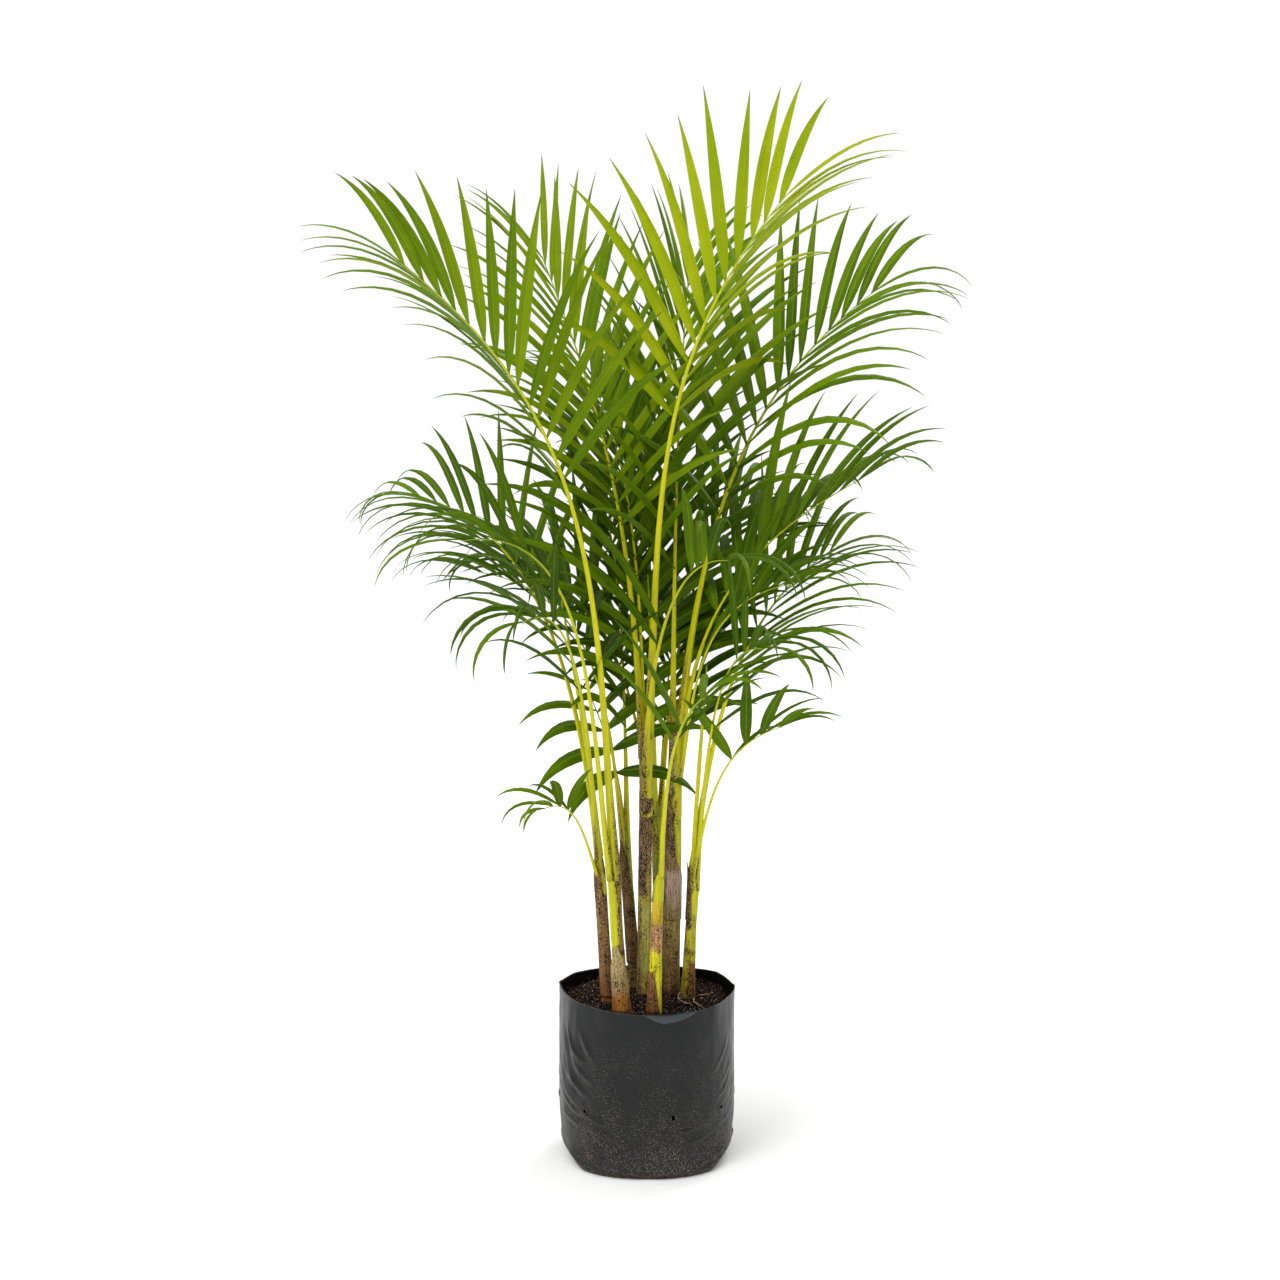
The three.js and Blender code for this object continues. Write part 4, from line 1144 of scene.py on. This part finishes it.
def wander_field(angle, z, scale, seed):
    """Smooth noise round the bag, without a seam."""
    turn = np.radians(angle)
    spots = np.stack([np.cos(turn) * BAG_RADIUS, np.sin(turn) * BAG_RADIUS, z * 0.5], axis=-1) * scale
    flat = spots.reshape(-1, 3)
    values = [noise.noise(Vector(p) + Vector((seed, 0, 0))) for p in flat]
    return np.array(values).reshape(angle.shape)


def hole_distance(angle, z):
    """How far each place is from the nearest drain hole, in millimetres."""
    nearest = np.full(angle.shape, 1e3)
    for facing, height in HOLES:
        nearest = np.minimum(nearest, np.hypot(arc(angle, facing), z - height))
    return nearest


def make_bag():
    turns = np.arange(BAG_COLUMNS) * 360 / BAG_COLUMNS
    rim = np.interp(turns, [r[0] for r in RIM], [r[1] for r in RIM])
    lip = np.interp(turns, [s[0] for s in LIP], [s[1] for s in LIP])
    rows, stains = [], []
    # the base, from its middle outwards, then the wall
    foot = film_radius(turns, np.zeros_like(turns))
    for i in range(FOOT_ROWS):
        share = (i + 0.08) / FOOT_ROWS
        rows.append(film_row(foot * share, turns, np.full_like(turns, FILM / 2)))
        stains.append(np.full_like(turns, BASE_STAIN))
    wall_rows = round(BAG_HEIGHT / WALL_ROW)
    share = np.linspace(0, 1, wall_rows + 1)[:, None]
    angle = np.broadcast_to(turns, (wall_rows + 1, BAG_COLUMNS))
    z = FILM / 2 + share * (rim[None, :] - FILM / 2)
    radius = film_radius(angle, z)
    radius = radius + rim_pull(angle, z)
    calm = np.clip(z / 40, 0.25, 1)
    radius = radius + strokes(angle, z, CREASES) + 1.5 * strokes(angle, z, FOOT_FOLDS) * np.clip(z / 6, 0, 1)
    broad, fine = wander_field(angle, z, 0.028, 3.0), wander_field(angle, z, 0.09, 17.0)
    radius = radius + calm * (1.3 * broad + 0.5 * fine)
    distance = hole_distance(angle, z)
    radius = radius + HOLE_LIP * np.exp(-((distance - HOLE_RADIUS) / 1.6) ** 2)
    radius = np.minimum(radius, BAG_RADIUS + MOST_BULGE)
    for i in range(wall_rows + 1):
        rows.append(film_row(radius[i], turns, z[i]))
        stain = np.exp(-(distance[i] / HOLE_STAIN) ** 2)
        for facing, height, size in STAINS:
            apart = np.hypot(arc(turns, facing), 1.3 * (z[i] - height))
            stain = np.maximum(stain, PATCH_STAIN * np.exp(-(apart / size) ** 2))
        stain = np.maximum(stain, FOOT_STAIN * np.clip(1 - z[i] / FOOT_STAIN_HEIGHT, 0, 1) ** 0.6)
        stains.append(stain)
    # over the rim and down the outside
    top = rows[-1]
    for step in (0.3, 0.65, 1.0):
        drop = lip * step
        out = np.minimum(1.2, 0.3 + drop * 0.4) + drop * 0.1
        reach = np.hypot(top[:, 0], top[:, 1]) + out
        rows.append(film_row(reach, turns, top[:, 2] + 0.5 - drop))
        stains.append(np.zeros_like(turns))
    grid = np.stack(rows)
    cells = grid[:-1]
    cell_angle = np.degrees(np.arctan2(cells[..., 1], cells[..., 0])) + 180 / BAG_COLUMNS
    gone = hole_distance(cell_angle, (grid[:-1, :, 2] + grid[1:, :, 2]) / 2) < HOLE_RADIUS
    gone[:FOOT_ROWS + 2] = False
    gone[-4:] = False
    points, faces = sheet_to_shell(grid * MM, FILM * MM, True, gone)
    # the base closes at a point in its middle, outside and inside
    half = grid.shape[0] * BAG_COLUMNS
    poles = [(0, 0, 0), (0, 0, FILM * MM)]
    points = np.concatenate([points, poles])
    first = set(range(BAG_COLUMNS))
    faces = [face for face in faces if {corner % half for corner in face} - first]
    for k in range(BAG_COLUMNS):
        nxt = (k + 1) % BAG_COLUMNS
        faces.append((2 * half, nxt, k))
        faces.append((2 * half + 1, k + half, nxt + half))
    bag = mesh_object("bag_film", points, faces, FILM_SKIN)
    stain = list(np.concatenate(stains))
    lip_rows = 3 * BAG_COLUMNS
    inner = [0.0] * half + [1.0] * (half - lip_rows) + [0.0] * lip_rows + [0.0, 1.0]
    # how much painted sheen each point of the lip gets, full where it hangs furthest
    turned = [0.0] * (half - lip_rows) + [min(1.0, drop / LIP_SHEEN_DROP) for drop in lip] * 3
    point_values(bag, stain=stain + stain + [BASE_STAIN, 0.0], inside=inner, lip=turned * 2 + [0.0, 0.0])
    finish_piece(bag, "black_film", "bag")


make_bag()


# ------------------------------------------------------------------ potting mix and what lies on it

BED_RINGS = 70
BED_COLUMNS = 200
BED_GAP = 2.6  # between the mix and the film


def litter_tree():
    """Scatters one kind of crumb, fibre or fleck over the bed of the mix."""
    nodes = new_tree("Litter on the mix", {
        "Mix": "Geometry", "Scrap": "Object", "Per square metre": "Float", "Smallest": "Float",
        "Largest": "Float", "Tumble": "Float", "Seed": "Int", "Finish": "Material"}, "Covered mix")
    given = nodes.add("NodeGroupInput")
    on_bed = nodes.add("FunctionNodeCompare", {0: nodes.read("bed", "FLOAT"), 1: 0.5})[0]
    dots = nodes.add("GeometryNodeDistributePointsOnFaces", {
        "Mesh": given["Mix"], "Selection": on_bed, "Density": given["Per square metre"],
        "Seed": given["Seed"]})
    scrap = nodes.add("GeometryNodeObjectInfo", {"Object": given["Scrap"]})["Geometry"]
    tumble = nodes.add("ShaderNodeCombineXYZ", {0: given["Tumble"], 1: given["Tumble"], 2: math.pi})[0]
    turn = nodes.add("FunctionNodeRandomValue", {"Min": nodes.scaled(tumble, -1.0), "Max": tumble,
                                                 "Seed": given["Seed"]}, data_type="FLOAT_VECTOR")[0]
    size = nodes.add("FunctionNodeRandomValue", {2: given["Smallest"], 3: given["Largest"],
                                                 "Seed": given["Seed"]}, data_type="FLOAT")[1]
    placed = nodes.add("GeometryNodeInstanceOnPoints", {"Points": dots["Points"], "Instance": scrap,
                                                        "Rotation": turn, "Scale": size})[0]
    real = nodes.add("GeometryNodeRealizeInstances", {"Geometry": placed})[0]
    nodes.join("Covered mix", given["Mix"], real, given["Finish"])
    return nodes.tree


def crumb(name, seed, squash, sides=8, rows=4):
    """A lumpy crumb about 1 m across, for the litter to scale."""
    rings = [[Vector((0, 0, -squash / 2))]]
    for i in range(1, rows):
        lift = math.pi * i / rows
        ring = []
        for angle in round_angles(sides):
            flat = math.sin(lift)
            spot = Vector((flat * math.cos(angle), flat * math.sin(angle), -math.cos(lift))) / 2
            spot *= 1 + 0.7 * noise.noise(spot * 2.6 + Vector((seed, 0, 0)))
            ring.append(Vector((spot.x, spot.y, spot.z * squash)))
        rings.append(ring)
    rings.append([Vector((0, 0, squash / 2))])
    return ring_body(name, rings, COIR, smooth=False)


def thread(name, seed, thick, sides=4, rows=8):
    """A bent fibre about 1 m long, for the litter to scale."""
    rng = random.Random(seed)
    bow, lift = rng.uniform(0.1, 0.3), rng.uniform(0.05, 0.2)
    rings = []
    for i in range(rows + 1):
        t = i / rows
        centre = Vector((t - 0.5, bow * math.sin(math.pi * t), lift * math.sin(2.2 * math.pi * t)))
        radius = thick * (0.4 + 0.6 * math.sin(math.pi * min(0.95, t + 0.05)))
        rings.append([centre + Vector((0, math.cos(a), math.sin(a))) * radius for a in round_angles(sides)])
    return ring_body(name, rings, COIR_FIBRE)


def bed_height(x, y):
    """The mix's uneven surface, in millimetres."""
    spot = Vector((x, y, 0))
    lump = 2.2 * noise.noise(spot * 0.05) + 1.4 * noise.noise(spot * 0.16 + Vector((7, 0, 0)))
    lump += 0.9 * noise.noise(spot * 0.45 + Vector((0, 5, 0)))
    return mix_height(x, y) + lump - 1.0


def make_mix():
    rings = []
    beds = []
    angles = round_angles(BED_COLUMNS)
    degrees = np.degrees(angles)
    rings.append([Vector((0, 0, 1.5))])
    beds.append([0.0])
    for z, share in ((1.5, 0.5), (1.5, 0.97), (8, 1), (20, 1), (40, 1), (60, 1), (90, 1), (140, 1), (196, 1)):
        heights = np.full(BED_COLUMNS, float(z))
        radius = (film_radius(degrees, heights) + rim_pull(degrees, heights) - BED_GAP - FILM) * share
        rings.append([Vector((r * math.cos(a), r * math.sin(a), z)) for r, a in zip(radius, angles)])
        beds.append([0.0] * BED_COLUMNS)
    heights = np.full(BED_COLUMNS, float(MIX_EDGE))
    edge = film_radius(degrees, heights) + rim_pull(degrees, heights) - BED_GAP - FILM
    for i in range(BED_RINGS, 0, -1):
        share = i / BED_RINGS
        ring = []
        for r, a in zip(edge * share, angles):
            x, y = r * math.cos(a), r * math.sin(a)
            ring.append(Vector((x, y, bed_height(x, y))))
        rings.append(ring)
        beds.append([1.0 if share < 0.975 else 0.0] * BED_COLUMNS)
    rings.append([Vector((0, 0, bed_height(0, 0)))])
    beds.append([1.0])
    bed = ring_body("potting_mix_bed", [[p * MM for p in ring] for ring in rings], COIR)
    point_values(bed, bed=[b for ring in beds for b in ring])
    tree = litter_tree()
    scraps = (
        (crumb("scrap_crumb", 1, 0.7), 42000, 1.2, 4.2, 1.5, 11, COIR),
        (crumb("scrap_husk", 5, 0.35), 20000, 1.5, 5.0, 0.9, 12, COIR),
        (thread("scrap_fibre", 3, 0.035), 12000, 5.0, 15.0, 0.6, 13, COIR_FIBRE),
        (thread("scrap_hair", 8, 0.03), 7000, 6.0, 20.0, 0.9, 14, COIR_FIBRE),
        (crumb("scrap_fleck", 9, 0.3, 6, 3), 20000, 0.8, 2.1, 1.2, 15, COIR_FLECK),
    )
    for scrap, density, smallest, largest, tumble, seed, finish in scraps:
        run_tree(bed, tree, {
            "Scrap": scrap, "Per square metre": float(density), "Smallest": smallest * MM,
            "Largest": largest * MM, "Tumble": tumble, "Seed": seed, "Finish": finish})
        bpy.data.objects.remove(scrap)
    finish_piece(bed, "coir_mix", "potting_mix")


make_mix()

# fine roots that lie on the mix: start, bend and end seen from above, and the radius
ROOTS = (
    ((40, -12), (38, -36), (56, -50), 0.75),
    ((59, -29), (62, -42), (70, -58), 0.65),
    ((66, -10), (80, 2), (87, 2), 0.6),
)
ROOT_STEPS = 40
ROOT_SIDES = 8


def make_root(number, start, over, end, radius):
    rings = []
    side = Vector((end[1] - start[1], start[0] - end[0], 0)).normalized()
    for i in range(ROOT_STEPS + 1):
        t = i / ROOT_STEPS
        x, y = (a * (1 - t) ** 2 + b * 2 * t * (1 - t) + c * t * t for a, b, c in zip(start, over, end))
        x += 1.4 * math.sin(9 * t + number)
        y += 1.1 * math.sin(13 * t + number)
        centre = Vector((x, y, mix_height(x, y) + 2.2 + 1.2 * math.sin(6 * t + number)))
        thick = radius * (1 - 0.55 * t)
        ring = []
        for angle in round_angles(ROOT_SIDES):
            ring.append((centre + (side * math.cos(angle) + UP * math.sin(angle)) * thick) * MM)
        rings.append(ring)
    root = ring_body(f"surface_root_{number}_thread", rings, FINE_ROOT)
    finish_piece(root, "fine_root", f"surface_root_{number}")


for number, root in enumerate(ROOTS, 1):
    make_root(number, *root)


# ------------------------------------------------------------------ floor, light and camera

FLOOR_SIDES = 96
FLOOR_RADIUS = 14  # metres


def make_floor():
    material = new_material("Studio floor, matt white paint", Base_Color=linear("#FBFBFB"), Roughness=0.9)[0]
    points = [Vector((0, 0, 0))] + [heading(360 * k / FLOOR_SIDES) * FLOOR_RADIUS for k in range(FLOOR_SIDES)]
    faces = [(0, k + 1, (k + 1) % FLOOR_SIDES + 1) for k in range(FLOOR_SIDES)]
    mesh_object("floor", points, faces, material)


def aimed(name, data, place, target):
    """A light or camera that looks from a place to a target."""
    made = bpy.data.objects.new(name, data)
    made.location = place
    made.rotation_euler = (Vector(target) - made.location).to_track_quat("-Z", "Y").to_euler()
    bpy.context.scene.collection.objects.link(made)
    return made


def make_light(name, place, target, size, power):
    """A large soft panel."""
    data = bpy.data.lights.new(name, "AREA")
    data.shape = "DISK"
    data.size = size
    data.energy = power
    aimed(name, data, place, target)


make_floor()
make_light("key_panel", (-1.8, -2.6, 3.0), (0, 0, 0.7), 1.8, 40)
make_light("rim_panel", (1.6, 2.6, 2.4), (0, 0, 0.9), 1.8, 45)

# a wide overhead softbox, the same all over the floor
overhead = bpy.data.lights.new("overhead_softbox", "SUN")
overhead.energy = 1.55
overhead.angle = math.radians(70)
softbox = bpy.data.objects.new("overhead_softbox", overhead)
softbox.rotation_euler = (math.radians(14), math.radians(-16), 0)
bpy.context.scene.collection.objects.link(softbox)

world = bpy.data.worlds.new("White studio")
world.use_nodes = True
dome = world.node_tree.nodes["Background"]
seen = add_node(world.node_tree, "ShaderNodeLightPath")
bright = add_node(world.node_tree, "ShaderNodeMapRange", {"Value": seen.outputs["Is Camera Ray"],
                                                          "To Min": 0.66, "To Max": 1.02})
dome.inputs["Color"].default_value = (1, 1, 1, 1)
world.node_tree.links.new(bright.outputs[0], dome.inputs["Strength"])
bpy.context.scene.world = world
bpy.context.scene.view_settings.view_transform = "Standard"

camera_data = bpy.data.cameras.new("camera")
camera_data.lens = 72
camera_data.sensor_width = 36
bpy.context.scene.camera = aimed("camera", camera_data, (-0.009, -3.2, 1.16), (-0.009, 0, 0.673))
